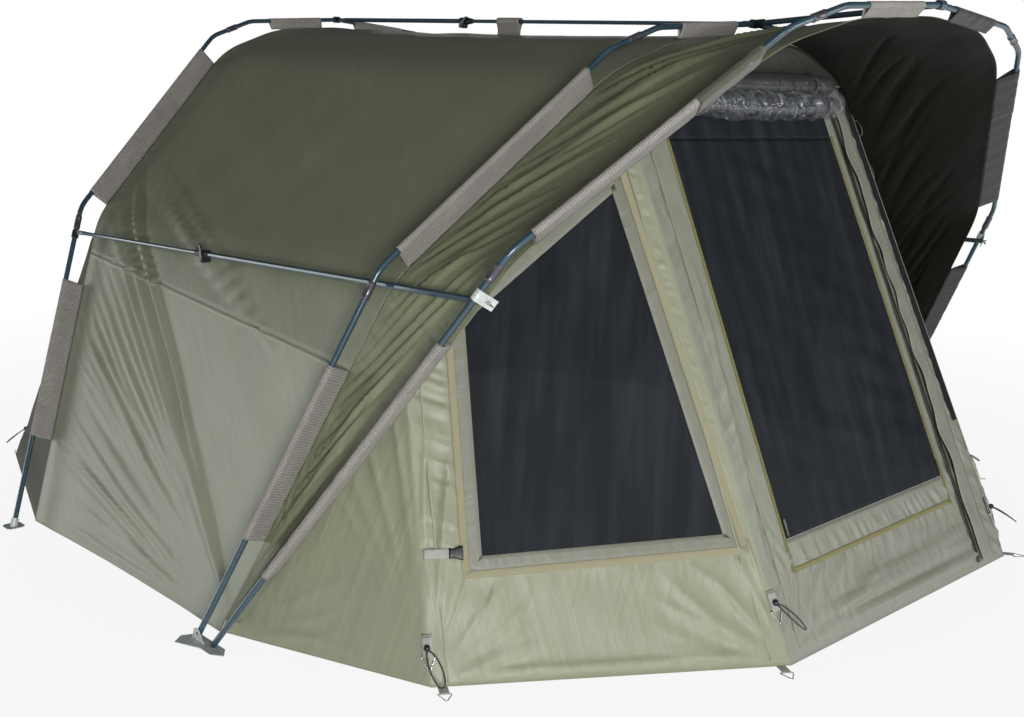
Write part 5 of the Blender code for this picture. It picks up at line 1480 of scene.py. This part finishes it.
def door_relief(at, wall, hole, cloth):
    """Vertical folds beside the zips, puckers under the sill and rolls along the hem."""
    a, b, c, d = wall.flat_corners
    height = cloth.folds
    sill = grown(hole, SILL_FROM_HOLE)
    total = gathers(at, sill[0], sill[1], 0.07, 0.040, cloth.puckers * 1.6, 71, slant=0.5)
    total += gathers(at, a, d, 0.05, 0.055, cloth.puckers, 72, slant=-0.8)
    total += gathers(at, b, c, 0.05, 0.055, cloth.puckers, 73, slant=-0.8)
    total += fan(at, a, np.linspace(84, 96, 4), 0.15, 1.15, 0.016, height * 0.8, 74)
    total += fan(at, b, np.linspace(86, 98, 4), 0.15, 1.15, 0.016, height * 0.8, 75)
    total += fold(at, a + [0.01, 0.030], b + [-0.02, 0.045], 0.015, height * 1.4, 0.004)
    total += fold(at, a + [0.04, 0.070], b + [-0.02, 0.090], 0.013, height * 1.2, 0.006)
    total += fold(at, a + [0.30, 0.105], b + [-0.02, 0.125], 0.012, height * 0.9)
    total += fan(at, a, (16, 28, 40), 0.1, 0.55, 0.018, height * 0.6, 76)
    total += billow(at, 0.28, 0.003, 77)
    run = unit(sill[1] - sill[0])
    aside = np.abs((at - sill[0]) @ np.array([-run[1], run[0]]))
    return total * (0.06 + 0.94 * ease((aside - 0.008) / 0.016))


class BIVVY_OT_door(bpy.types.Operator):
    """Adds the door's surround, its mesh panel and its zips"""
    bl_idname = "bivvy.door"
    bl_label = "Door"

    def execute(self, context):
        cloth = context.scene.bivvy_cloth
        hole = np.array([DOOR.spot(shares) for shares in DOOR_SHARES])
        top = np.array([DOOR.spot((0.131, DOOR_NET_TOP)), DOOR.spot((0.848, DOOR_NET_TOP))])
        self.surround(np.array([hole[0], hole[1], top[1], top[0]]), cloth)
        self.net(hole)
        s, t = np.meshgrid(np.linspace(0, 1, 60), np.linspace(0, 1, 8))
        low = hole[3] + (hole[2] - hole[3]) * s[..., None]
        at = low + (top[0] + (top[1] - top[0]) * s[..., None] - low) * t[..., None]
        strip = Patch(DOOR.place(at, -0.0004), at, ROOM_CENTRE)
        obj = sew("door_top_net", [strip], [finish("netting")], 0.0006)
        lean_with_frame(obj)
        self.zips(hole)
        self.seams()
        self.flap()
        return {"FINISHED"}

    def surround(self, hole, cloth):
        """The cloth round the door and the header above it."""
        seam = front_seam()
        brow_l, brow_r = seam.at(float(BROW_L)), seam.at(float(BROW_R))
        corners = np.array([DOOR.corners[0], DOOR.corners[1], brow_r, brow_l])
        counts = steps_along(corners, cloth.cell)
        patch = ring_patch(DOOR, DOOR.place(loop(hole, counts)), loop(corners, counts), 22)
        fade = ease(edge_distance(patch.flat, DOOR.flat_corners) / EDGE_FADE)
        patch.raised(door_relief(patch.flat, DOOR, hole, cloth)
                     * border_mask(patch.flat, hole, 0.012) * fade)
        top = seam.at(np.linspace(BROW_R, BROW_L, counts[2] + 1))
        points = ruled(span(brow_r, brow_l, counts[2] + 1), top, 10)
        header = Patch(points, DOOR.flat(points), ROOM_CENTRE)
        for name, part, key in (("door_surround_cloth", patch, "door"),
                                ("header_cloth", header, "header")):
            obj = lined(name, [part], key, cloth)
            declare_cloth([part],
                          size=np.ptp(part.flat.reshape(-1, 2), axis=0) * 1.01)
            lean_with_frame(obj)
            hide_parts("door_surround")

    def net(self, hole):
        """The door's mesh, a little slack, with soft pulls from its two lower corners."""
        corners = grown(hole, -0.0006)
        at, _, _, hold = pane(corners, 80)
        patch = Patch(DOOR.place(at), at, ROOM_CENTRE)
        slack = billow(at, 0.2, 0.005, 81)
        slack += fan(at, corners[0], (50, 62, 74, 82), 0.2, 1.1, 0.03, 0.005, 82)
        slack += fan(at, corners[1], (100, 115, 130), 0.2, 0.9, 0.03, 0.004, 83)
        patch.raised(slack * hold - 0.0002)
        obj = sew("door_net", [patch], [finish("netting")], NET_WALL)
        declare_cloth([patch])
        ride(obj, "door")
        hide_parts("door_mesh")

    def seams(self):
        """Stitched seams down the panels."""
        for name, wall, low, high in (("left_kick", DOOR, (0.045, 0.02), (0.050, 0.86)),
                                      ("right_kick", DOOR, (0.925, 0.02), (0.930, 0.86)),
                                      ("left_fold", WINDOWS[-1], (0.945, 0.01), (0.945, 0.95)),
                                      ("left_gusset", WINDOWS[-1], (0.045, 0.01), (0.060, 0.93)),
                                      ("right_fold", WINDOWS[1], (0.945, 0.01), (0.945, 0.95)),
                                      ("right_gusset", WINDOWS[1], (0.045, 0.01), (0.060, 0.93))):
            path = wall.place(line(wall.spot(low), wall.spot(high)), 0.0016)
            obj = strap(f"{name}_seam", path, wall.out, 0.0045, 0.0034, [finish("front")])
            ride(obj, "shelter")

    def flap(self):
        """Storm flap beside the right zip: sewn at the fold side, its free edge stands proud.

        Its height is 5 mm and, at the free edge, 10 mm more, which falls off as (1 - s)^1.5
        and has uneven waves along it.
        """
        rows, columns = 120, 9
        h = np.linspace(0.012, 0.99, rows)[:, None]
        s = np.linspace(0, 1, columns)[None, :]
        wave = wander(h / 0.16, 121) * 0.007
        low, high = (DOOR.spot((0.868, 0.0)), DOOR.spot((0.895, 1.0)))
        sewn_low, sewn_high = (DOOR.spot((0.942, 0.0)), DOOR.spot((0.958, 1.0)))
        free = low + (high - low) * h[..., None] + np.stack([wave, 0 * wave], -1)
        sewn = sewn_low + (sewn_high - sewn_low) * h[..., None]
        flat = free + (sewn - free) * s[..., None]
        lift = 0.0052 + 0.010 * (1 - s) ** 1.5 * (1 + 0.5 * wander(h / 0.11, 123))
        points = (DOOR.corners[0] + flat[..., :1] * DOOR.across + flat[..., 1:] * DOOR.up
                  + lift[..., None] * DOOR.out)
        obj = sew("right_storm_flap", [Patch(points, flat, ROOM_CENTRE)],
                  [finish("door"), finish("inside")], 0.0012)
        ride(obj, "shelter")
        # A dark strip under the flap's free edge: painted shadow of the flap.
        path = DOOR.place(line(DOOR.spot((0.862, 0.012)), DOOR.spot((0.889, 0.98))), 0.0036)
        obj = strap("right_flap_facing", path, DOOR.out, 0.016, 0.0016, [finish("header")])
        ride(obj, "shelter")
        path = DOOR.place(line(DOOR.spot((0.985, 0.28)), DOOR.spot((0.985, 0.99))), 0.0014)
        obj = strap("right_fold_facing", path, DOOR.out, 0.028, 0.0020, [finish("netting")])
        ride(obj, "shelter")

    def zips(self, hole):
        """Coil tape down both sides of the opening and along the sill below it."""
        wide = grown(hole, ZIP_FROM_HOLE)
        for name, low, high in (("left", wide[0], wide[3]), ("right", wide[1], wide[2])):
            start = low - unit(high - low) * SILL_FROM_HOLE
            path = DOOR.place(line(start, high), 0.0012)
            obj = strap(f"{name}_door_zip", path, DOOR.out, 0.010, 0.0024, [finish("zip")])
            ride(obj, "shelter")
        start = wide[0] - unit(wide[3] - wide[0]) * SILL_ZIP_DROP
        end = wide[1] - unit(wide[2] - wide[1]) * SILL_ZIP_DROP
        obj = strap("sill_zip", DOOR.place(line(start, end), 0.0012), DOOR.out, 0.013, 0.0026,
                    [finish("zip")])
        ride(obj, "shelter")


# Rolled doors

def roll_surface(centre, half, radius, pinches, seed, rough):
    """A loose roll: r = radius (1 - pinch) + uneven waves round and along it.

    A pinch falls as exp(-(x / 30 mm)^2) about each tie, and the rim of the last turn stands
    out as a step in the radius.
    """
    x = np.linspace(-half, half, 150)[:, None]
    a = np.linspace(0, 2 * np.pi, 56, endpoint=False)[None, :]
    squeeze = sum(0.30 * np.exp(-((x - p) / 0.030) ** 2) for p in pinches)
    swell = 1 + 0.10 * wander(x / 0.16, seed) - squeeze
    ripple = (wander(x / 0.05 + 0.25 * np.sin(a), seed + 1) * np.cos(3 * a + x * 20)
              + 0.7 * wander(x / 0.03 + 0.3 * np.cos(2 * a), seed + 2) * np.cos(5 * a - x * 33))
    step = 0.07 * (a / (2 * np.pi))
    near = np.exp(-((np.abs(x) - half) / 0.02) ** 2)
    r = radius * (swell * (0.93 + step) + rough * ripple * (0.5 + squeeze * 1.5))
    r = r * (1 - 0.25 * near)
    drop = -ROLL_SAG * np.cos(np.pi * x / half / 2) ** 2
    out = np.array([0.0, -1.0, 0.0])
    return (centre + x[..., None] * X + (r * np.sin(a))[..., None] * Z
            + (r * np.cos(a))[..., None] * out + drop[..., None] * Z)


def close_roll(name, points, materials):
    """Tube of a roll with dished ends."""
    turns = ((0.25, 0.006), (0.6, 0.003))
    first, last = points[0].mean(axis=0), points[-1].mean(axis=0)
    rings = np.stack([first + (points[0] - first) * s + X * d for s, d in turns] + list(points)
                     + [last + (points[-1] - last) * s - X * d for s, d in turns[::-1]])
    rows, sides = rings.shape[:2]
    faces, r, c = lattice(rows, sides, False, True)
    metres = lengths(rings[:, 0])
    uv = np.stack([c * 0.0037, metres[r]], -1).reshape(-1, 2)
    uv = np.vstack([uv, np.zeros((2 * sides, 2))])
    obj = new_object(name, rings.reshape(-1, 3), capped(faces, rows, sides), uv, materials)
    outward(obj)
    return obj


class BIVVY_OT_rolls(bpy.types.Operator):
    """Adds the rolled cloth door, the rolled clear panel and their ties"""
    bl_idname = "bivvy.rolls"
    bl_label = "Door rolls"

    def execute(self, context):
        top = (DOOR.corners[2] + DOOR.corners[3]) / 2
        pinches = [side * (ROLL_HALF - TIE_FROM_END) for side in (-1, 1)]
        for name, step, key, slot, rough in (("door", 0, "rolled", "roof_cloth", 0.05),
                                             ("clear", 1, "film", "clear_film", 0.17)):
            down = -DOOR.up * (ROLL_BELOW_FOLD + ROLL_STEP * step)
            radius = ROLL_RADIUS * (1 + 0.28 * step)
            centre = top + down + DOOR.out * (radius + 0.004)
            points = roll_surface(centre, ROLL_HALF, radius, pinches, 90 + step * 7, rough)
            obj = close_roll(f"{name}_roll_piece", points, [finish(key)])
            ride(obj, "shelter")
            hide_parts(f"{name}_roll")
            if key == "film":
                # The dark core paints the film's dark reflections.
                core = roll_surface(centre, ROLL_HALF * 0.97, radius * 0.68, pinches, 105, 0.22)
                ride(close_roll("clear_roll_core", core, [finish("inner_film")]), "shelter")
            for number, pinch in enumerate(pinches):
                self.tie(f"{name}_tie_{number + 1}", centre + X * pinch, radius * 0.80)
        self.hanging_ties()
        return {"FINISHED"}

    def hanging_ties(self):
        """Olive tape loops that hang from the middle hoop's seam, ready for a rolled panel."""
        seam = front_seam()
        for number, share in enumerate((6.22, 6.5, 6.86)):
            top = seam.at(share) + np.array([0.004, -0.012, 0.0])
            t = np.linspace(0, 1, 30)
            turn = 2 * np.pi * t
            sway = np.sin(turn) * 0.017 + 0.028 * (1 - np.cos(turn)) / 2
            drop = (1 - np.cos(turn)) / 2 * (0.05 + 0.02 * number)
            path = top - drop[:, None] * Z + sway[:, None] * np.array([-0.25, -0.95, 0])
            obj = strap(f"hanging_tie_{number + 1}", path[:-1], np.array([0.2, -1.0, 0.1]), 0.009,
                        0.0014, [finish("olive_tape")], closed=True)
            ride(obj, "front_frame")

    def tie(self, name, centre, radius):
        """Elastic tape round the roll, drawn tight at the pinch."""
        a = np.linspace(0, 2 * np.pi, 40, endpoint=False)
        way = np.stack([0 * a, -np.cos(a), np.sin(a)], 1)
        path = centre + way * radius + np.array([0, 0, -0.004])
        obj = strap(name, path, way, TIE_WIDTH, 0.0016, [finish("elastic")], closed=True)
        ride(obj, "shelter")


# Pegging points

def axes_at(origin, along, near):
    """Columns along, near made square, and their cross, with the origin."""
    x = unit(np.asarray(along, float))
    y = unit(near - x * (near @ x))
    return origin, x, y, np.cross(x, y)


def spot_in(axes, flat):
    """World points: origin + x u + y v + z w."""
    origin, x, y, z = axes
    flat = np.asarray(flat, float)
    return origin + flat[..., :1] * x + flat[..., 1:2] * y + flat[..., 2:] * z


def ring_path(axes, size, top, low):
    """A wire triangle with rounded corners, its flat side under the tab."""
    corners = np.array([(top, -size / 2, low), (top, size / 2, low), (top - size, 0, low)])
    soft = 0.16
    t = np.linspace(0, 1, 7)[:, None]
    parts = []
    for k in range(3):
        before, corner, after = corners[k - 1], corners[k], corners[(k + 1) % 3]
        a, b = corner + (before - corner) * soft, corner + (after - corner) * soft
        parts.append(a * (1 - t) ** 2 + 2 * corner * t * (1 - t) + b * t ** 2)
        straight = corners[(k + 1) % 3] + (corner - corners[(k + 1) % 3]) * soft
        parts.append(b + (straight - b) * np.linspace(0, 1, 6)[1:-1, None])
    return spot_in(axes, np.vstack(parts))


def tab_with_ring(name, axes, length):
    """A doubled webbing tab with its triangle ring held in the fold at its lower end."""
    y, z = axes[2:]
    a = np.linspace(-np.pi / 2, np.pi / 2, 8)
    fold_x = 0.0016 - 0.0030 * np.cos(a)
    fold_z = 0.0026 + 0.0026 * np.sin(a)
    low = np.stack([fold_x, 0 * a, fold_z], 1)
    path = np.vstack([line((length, 0, 0.0008), low[0] + (0.002, 0, 0), 0.006), low,
                      line(low[-1] + (0.002, 0, 0), (length * 0.9, 0, 0.0034), 0.006)])
    world = spot_in(axes, path)
    obj = strap(name, world, np.cross(headings(world, False), y), TAB_WIDTH, 0.0014,
                [finish("webbing")])
    ride(obj, "shelter")
    ring = tube(f"{name}_ring", ring_path(axes, RING_SIZE, 0.001, 0.0026), 0.0016, z,
                [finish("steel")], 10, closed=True)
    ride(ring, "shelter")


def toggle(name, centre, along, radius=0.0078):
    """A round cord lock: a ball with flattened poles."""
    share = np.linspace(0.06, 0.94, 14) * np.pi
    profile = np.stack([-np.cos(share) * radius * 1.05, np.sin(share) * radius], 1)
    path = centre + profile[:, :1] * unit(along)
    side = np.cross(along, Z) if abs(unit(along)[2]) < 0.9 else X
    obj = tube(name, path, profile[:, 1], side, [finish("plastic")], 20)
    return ride(obj, "shelter")


def elastic_loop(name, start, outward_way, droop, length=0.082, width=0.036):
    """Elastic cord in a leaf shaped loop that leaves the toggle and comes back into it."""
    t = np.linspace(0, 1, 36)
    turn = 2 * np.pi * t
    along = (1 - np.cos(turn)) / 2 * length
    aside = np.sin(turn) * width / 2 * (0.35 + 0.65 * np.sin(np.pi * t) ** 0.5)
    way = unit(outward_way)
    side = unit(np.cross(way, Z) + 1e-9)
    path = (start + along[:, None] * way + aside[:, None] * side
            - (droop * (along / length) ** 2)[:, None] * Z)
    obj = tube(name, path, CORD_RADIUS, np.cross(way, side), [finish("elastic")], 10)
    ride(obj, "shelter")
    return obj


class BIVVY_OT_peg_points(bpy.types.Operator):
    """Adds the webbing tabs, rings, toggles and elastic loops at the hem corners"""
    bl_idname = "bivvy.peg_points"
    bl_label = "Pegging points"

    def execute(self, context):
        for name, side in SIDES:
            wall = WINDOWS[side]
            foot = MIDDLE.inset(WALL_INSET)[on_side(HEM_L, side)]
            gusset = unit(np.cross(wall.corners[3] - foot, wall.corners[0] - foot))
            gusset = gusset if gusset @ (foot - ROOM_CENTRE) > 0 else -gusset
            spots = (("outer", wall.corners[0], wall.corners[3], wall.out, gusset, 0.070),
                     ("inner", wall.corners[1], wall.corners[2], wall.out, DOOR.out, 0.135))
            for place, low, high, one, other, rise in spots:
                self.fold_point(f"{name}_{place}", low, high, one, other, rise)
                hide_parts(f"{name}_{place}_peg_point")
            flat_out = unit(wall.out * [1, 1, 0])
            for number, (start, end) in enumerate(((0, 1), (1, 0))):
                where = toward(wall.corners[start], wall.corners[end], 0.026)
                self.hem_tab(f"{name}_front_hem_tab_{number + 1}", where, flat_out)
            rear = hem_corner(CORNER_E_HALF - REAR_CORNER_IN, CORNER_E_Y, side)
            brow = REAR.inset(WALL_INSET)[on_side(BROW_L, side)]
            self.fold_point(f"{name}_rear", rear, brow, np.array([side * 1.0, 0.2, 0]),
                            np.array([side * 0.2, 1.0, 0]), 0.09)
            self.hem_tab(f"{name}_rear_hem_tab", rear - X * side * 0.026, np.array([0, 1.0, 0]))
        return {"FINISHED"}

    def fold_point(self, name, low, high, one, other, rise):
        """A webbing tab, toggle and elastic loop where two walls meet, a rise above the hem."""
        up = unit(high - low)
        out = unit(one + other)
        axes = axes_at(low + up * rise + out * 0.0015, up, np.cross(out, up))
        tab_with_ring(f"{name}_tab", axes, FOLD_TAB)
        knob = low + up * (rise + 0.019) + out * 0.0115
        toggle(f"{name}_toggle", knob, up)
        way = unit(out * [1, 1, 0]) * 0.75 - Z * 0.45
        way = way + X * (0.55 if out[1] < 0 else 0.0)
        elastic_loop(f"{name}_loop", knob + unit(way) * 0.006, way, 0.012)

    def hem_tab(self, name, place, out):
        """A flat tab with its ring that lies out from the hem."""
        axes = axes_at(place + Z * 0.0012 + out * 0.030 - Z * 0.002, -out, np.cross(-out, Z))
        tab_with_ring(name, axes, HEM_TAB)


class BIVVY_OT_buckle(bpy.types.Operator):
    """Adds the half buckle and its strap on the left window's border"""
    bl_idname = "bivvy.buckle"
    bl_label = "Buckle"

    def execute(self, context):
        wall = WINDOWS[-1]
        spot = wall.spot((0.085, 0.300))
        path = wall.place(line(spot + [-0.060, 0], spot + [0.008, 0], 0.006), 0.0075)
        band = strap("buckle_strap", path, wall.out, 0.023, 0.0022, [finish("webbing")])
        ride(band, "shelter")
        share = np.linspace(0, 1, 12)
        half = np.interp(share, (0, 0.35, 0.8, 1), (0.0125, 0.0105, 0.016, 0.0172))
        x = spot[0] + share * 0.034
        low, high = 0.0030, 0.0130
        rings = []
        for offset, wide, tall in zip(x, half, np.interp(share, (0, 0.1, 1), (0.6, 1, 0.9))):
            top = low + (high - low) * tall
            outline = [(-wide, low), (-wide, top - 0.002), (-wide + 0.003, top),
                       (wide - 0.003, top), (wide, top - 0.002), (wide, low)]
            rings.append([wall.place((offset, spot[1] + side), h) for side, h in outline])
        rings = np.array(rings)
        rows, sides = rings.shape[:2]
        faces, r, c = lattice(rows, sides, False, True)
        uv = np.vstack([np.stack([c * 0.01, r * 0.003], -1).reshape(-1, 2), np.zeros((12, 2))])
        obj = new_object("buckle_half", rings.reshape(-1, 3), capped(faces, rows, sides), uv,
                         [finish("plastic")])
        outward(obj)
        soft = obj.modifiers.new("Edges", "BEVEL")
        soft.width, soft.segments = 0.0008, 2
        ride(obj, "shelter")
        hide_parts("buckle_socket")
        return {"FINISHED"}


class BIVVY_OT_fittings(bpy.types.Operator):
    """Gives every carried over fitting its finish"""
    bl_idname = "bivvy.fittings"
    bl_label = "Fittings"

    def execute(self, context):
        finishes = {"bracket": "zinc", "rear_foot": "zinc", "bar_fitting": "plastic",
                    "ridge_rear_fitting": "plastic", "clamp": "zinc", "wing_screw": "steel",
                    "clip": "plastic", "lever": "plastic", "crown_fitting": "plastic",
                    "tube": "pole", "bar_inner": "pole", "bar_outer": "pole", "slider": "steel"}
        for name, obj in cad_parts.items():
            chosen = [key for word, key in finishes.items() if word in name]
            if not chosen:
                continue
            for slot in obj.material_slots:
                slot.material = finish(chosen[0])
        return {"FINISHED"}


class BIVVY_OT_stage(bpy.types.Operator):
    """Adds the camera, the lamps, the sky and a pale floor"""
    bl_idname = "bivvy.stage"
    bl_label = "Stage"

    def execute(self, context):
        scene = context.scene
        stage = scene.bivvy_stage
        scene.view_settings.view_transform = "Standard"
        self.camera(scene, stage)
        self.sky(scene, stage)
        self.lamp("Key lamp", (-4.7, -5.8, 1.25), (-0.3, -0.6, 0.7), 1.6, stage.key)
        self.lamp("Side lamp", (-5.0, 5.0, 1.1), (-1.4, 0.5, 0.7), 2.4, stage.side)
        self.lamp("Fill lamp", (2.8, -6.4, 1.4), (0, -0.3, 0.7), 2.4, stage.fill)
        self.lamp("Small lamp", (-0.9, -3.9, 2.5), (0, -0.5, 1.4), 0.45, stage.fill * 0.08)
        self.lamp("Back lamp", (5.0, 5.0, 1.3), (0.5, 0.5, 0.6), 3.0, stage.fill * 0.7)
        self.floor()
        return {"FINISHED"}

    def camera(self, scene, stage):
        """The photograph's view: yaw 42.6 degrees, 12.2 degrees down, rolled by 1.25 degrees."""
        data = bpy.data.cameras.new("Camera")
        data.sensor_width = 36.0
        data.lens = stage.lens
        data.shift_x, data.shift_y = CAMERA_SHIFT
        forward = unit(np.array(CAMERA_WAY))
        right = unit(np.cross(forward, Z))
        up = np.cross(right, forward)
        roll = math.radians(CAMERA_ROLL)
        tilted = right * math.cos(roll) + up * math.sin(roll)
        upright = up * math.cos(roll) - right * math.sin(roll)
        scene.camera = self.stand("Camera", data, (tilted, upright, -forward), CAMERA_AT)

    def stand(self, name, data, axes, where):
        """An object at a place, its own axes along three directions."""
        obj = bpy.data.objects.new(name, data)
        turn = Matrix([list(row) for row in np.stack(axes, 1)]).to_4x4()
        turn.translation = where
        obj.matrix_world = turn
        bpy.context.scene.collection.objects.link(obj)
        return obj

    def sky(self, scene, stage):
        """Even light that falls off overhead; the camera sees plain white instead."""
        world = bpy.data.worlds.new("Studio")
        scene.world = world
        world.use_nodes = True
        tree = world.node_tree
        even = tree.nodes["Background"]
        even.inputs["Color"].default_value = (1, 1, 1, 1)
        way = node(tree, "ShaderNodeTexCoord").outputs["Generated"]
        height = node(tree, "ShaderNodeSeparateXYZ", {"Vector": way}).outputs["Z"]
        fall = node(tree, "ShaderNodeMapRange",
                    {"Value": height, "From Min": 0.05, "From Max": 0.75, "To Min": stage.sky,
                     "To Max": stage.sky * 0.22})
        tree.links.new(fall.outputs[0], even.inputs["Strength"])
        seen = node(tree, "ShaderNodeBackground", {"Color": (1, 1, 1, 1), "Strength": 1.0})
        ray = node(tree, "ShaderNodeLightPath")
        either = node(tree, "ShaderNodeMath", {0: ray.outputs["Is Camera Ray"],
                                               1: ray.outputs["Is Transmission Ray"]},
                      operation="MAXIMUM")
        mix = node(tree, "ShaderNodeMixShader", {0: either.outputs[0], 1: even.outputs[0],
                                                 2: seen.outputs[0]})
        tree.links.new(mix.outputs[0], tree.nodes["World Output"].inputs["Surface"])

    def lamp(self, name, where, target, size, power):
        """A square lamp at a place, facing its target."""
        data = bpy.data.lights.new(name, "AREA")
        data.size = size
        data.energy = power
        way = unit(np.array(where, float) - np.array(target, float))
        right = unit(np.cross(Z, way))
        self.stand(name, data, (right, np.cross(way, right), way), where)

    def floor(self):
        """A pale disc that keeps the tent's shadow and turns white away from it."""
        sides = 96
        a = np.linspace(0, 2 * np.pi, sides, endpoint=False)
        rings = [np.stack([r * np.cos(a), r * np.sin(a), 0 * a], 1) for r in FLOOR_RINGS]
        faces = lattice(len(rings), sides, False, True)[0]
        faces = faces.tolist() + [list(range(sides - 1, -1, -1))]
        points = np.vstack(rings) - [0, 0, 0.0005]
        uv = np.zeros((sum(map(len, faces)), 2))
        obj = new_object("floor", points, faces, uv, [self.floor_finish()])
        outward(obj)

    def floor_finish(self):
        """Matt white paper sweep."""
        material, tree = surface("Paper sweep", 0.9, Specular_IOR_Level=0.1)
        place = solid_places(tree)
        grain = noise(tree, place, 0.002)
        dressed(material, mixed(tree, grain, paint("#b8b8b8"), paint("#bebebe")))
        ray = node(tree, "ShaderNodeLightPath")
        seen = node(tree, "ShaderNodeMath", {0: ray.outputs["Is Camera Ray"],
                                             1: ray.outputs["Is Glossy Ray"]}, operation="MAXIMUM")
        far = node(tree, "ShaderNodeVectorMath", {0: place}, operation="LENGTH").outputs["Value"]
        spread = node(tree, "ShaderNodeMapRange", {"Value": far, "From Min": 1.5, "From Max": 4.5,
                                                   "To Min": 0.90, "To Max": 1.0}).outputs[0]
        share = node(tree, "ShaderNodeMath", {0: seen.outputs[0], 1: spread}, operation="MULTIPLY")
        glow = node(tree, "ShaderNodeEmission", {"Color": (1, 1, 1, 1), "Strength": 1.0})
        mix = node(tree, "ShaderNodeMixShader",
                   {0: share.outputs[0], 1: tree.nodes[SHADER].outputs[0], 2: glow.outputs[0]})
        tree.links.new(mix.outputs[0], tree.nodes["Material Output"].inputs["Surface"])
        return material


class BIVVY_PT_panel(bpy.types.Panel):
    """Lists the tent's sizes, colours and pieces"""
    bl_idname = "BIVVY_PT_panel"
    bl_label = "Bivvy tent"
    bl_space_type = "VIEW_3D"
    bl_region_type = "UI"
    bl_category = "Bivvy"

    def draw(self, context):
        scene = context.scene
        for group in (scene.bivvy_cloth, scene.bivvy_colours, scene.bivvy_stage):
            box = self.layout.box()
            for name in group.__annotations__:
                box.prop(group, name)
        for operator in OPERATORS:
            self.layout.operator(operator.bl_idname)


GROUPS = {"bivvy_cloth": BivvyCloth, "bivvy_colours": BivvyColours, "bivvy_stage": BivvyStage}
OPERATORS = (BIVVY_OT_stage, BIVVY_OT_poles, BIVVY_OT_sleeves, BIVVY_OT_canopy, BIVVY_OT_peak,
             BIVVY_OT_rear_wall, BIVVY_OT_front_panels, BIVVY_OT_door, BIVVY_OT_rolls,
             BIVVY_OT_peg_points, BIVVY_OT_buckle, BIVVY_OT_fittings)


def register():
    """Adds the settings, operators and panel to Blender."""
    for name, group in GROUPS.items():
        bpy.utils.register_class(group)
        setattr(bpy.types.Scene, name, PointerProperty(type=group))
    for kind in OPERATORS + (BIVVY_PT_panel,):
        bpy.utils.register_class(kind)


def unregister():
    """Takes them out again."""
    for kind in (BIVVY_PT_panel,) + OPERATORS[::-1]:
        bpy.utils.unregister_class(kind)
    for name, group in GROUPS.items():
        delattr(bpy.types.Scene, name)
        bpy.utils.unregister_class(group)


def main():
    """Runs every operator once."""
    register()
    for operator in OPERATORS:
        group, name = operator.bl_idname.split(".")
        getattr(getattr(bpy.ops, group), name)()


if __name__ == "__main__":
    main()
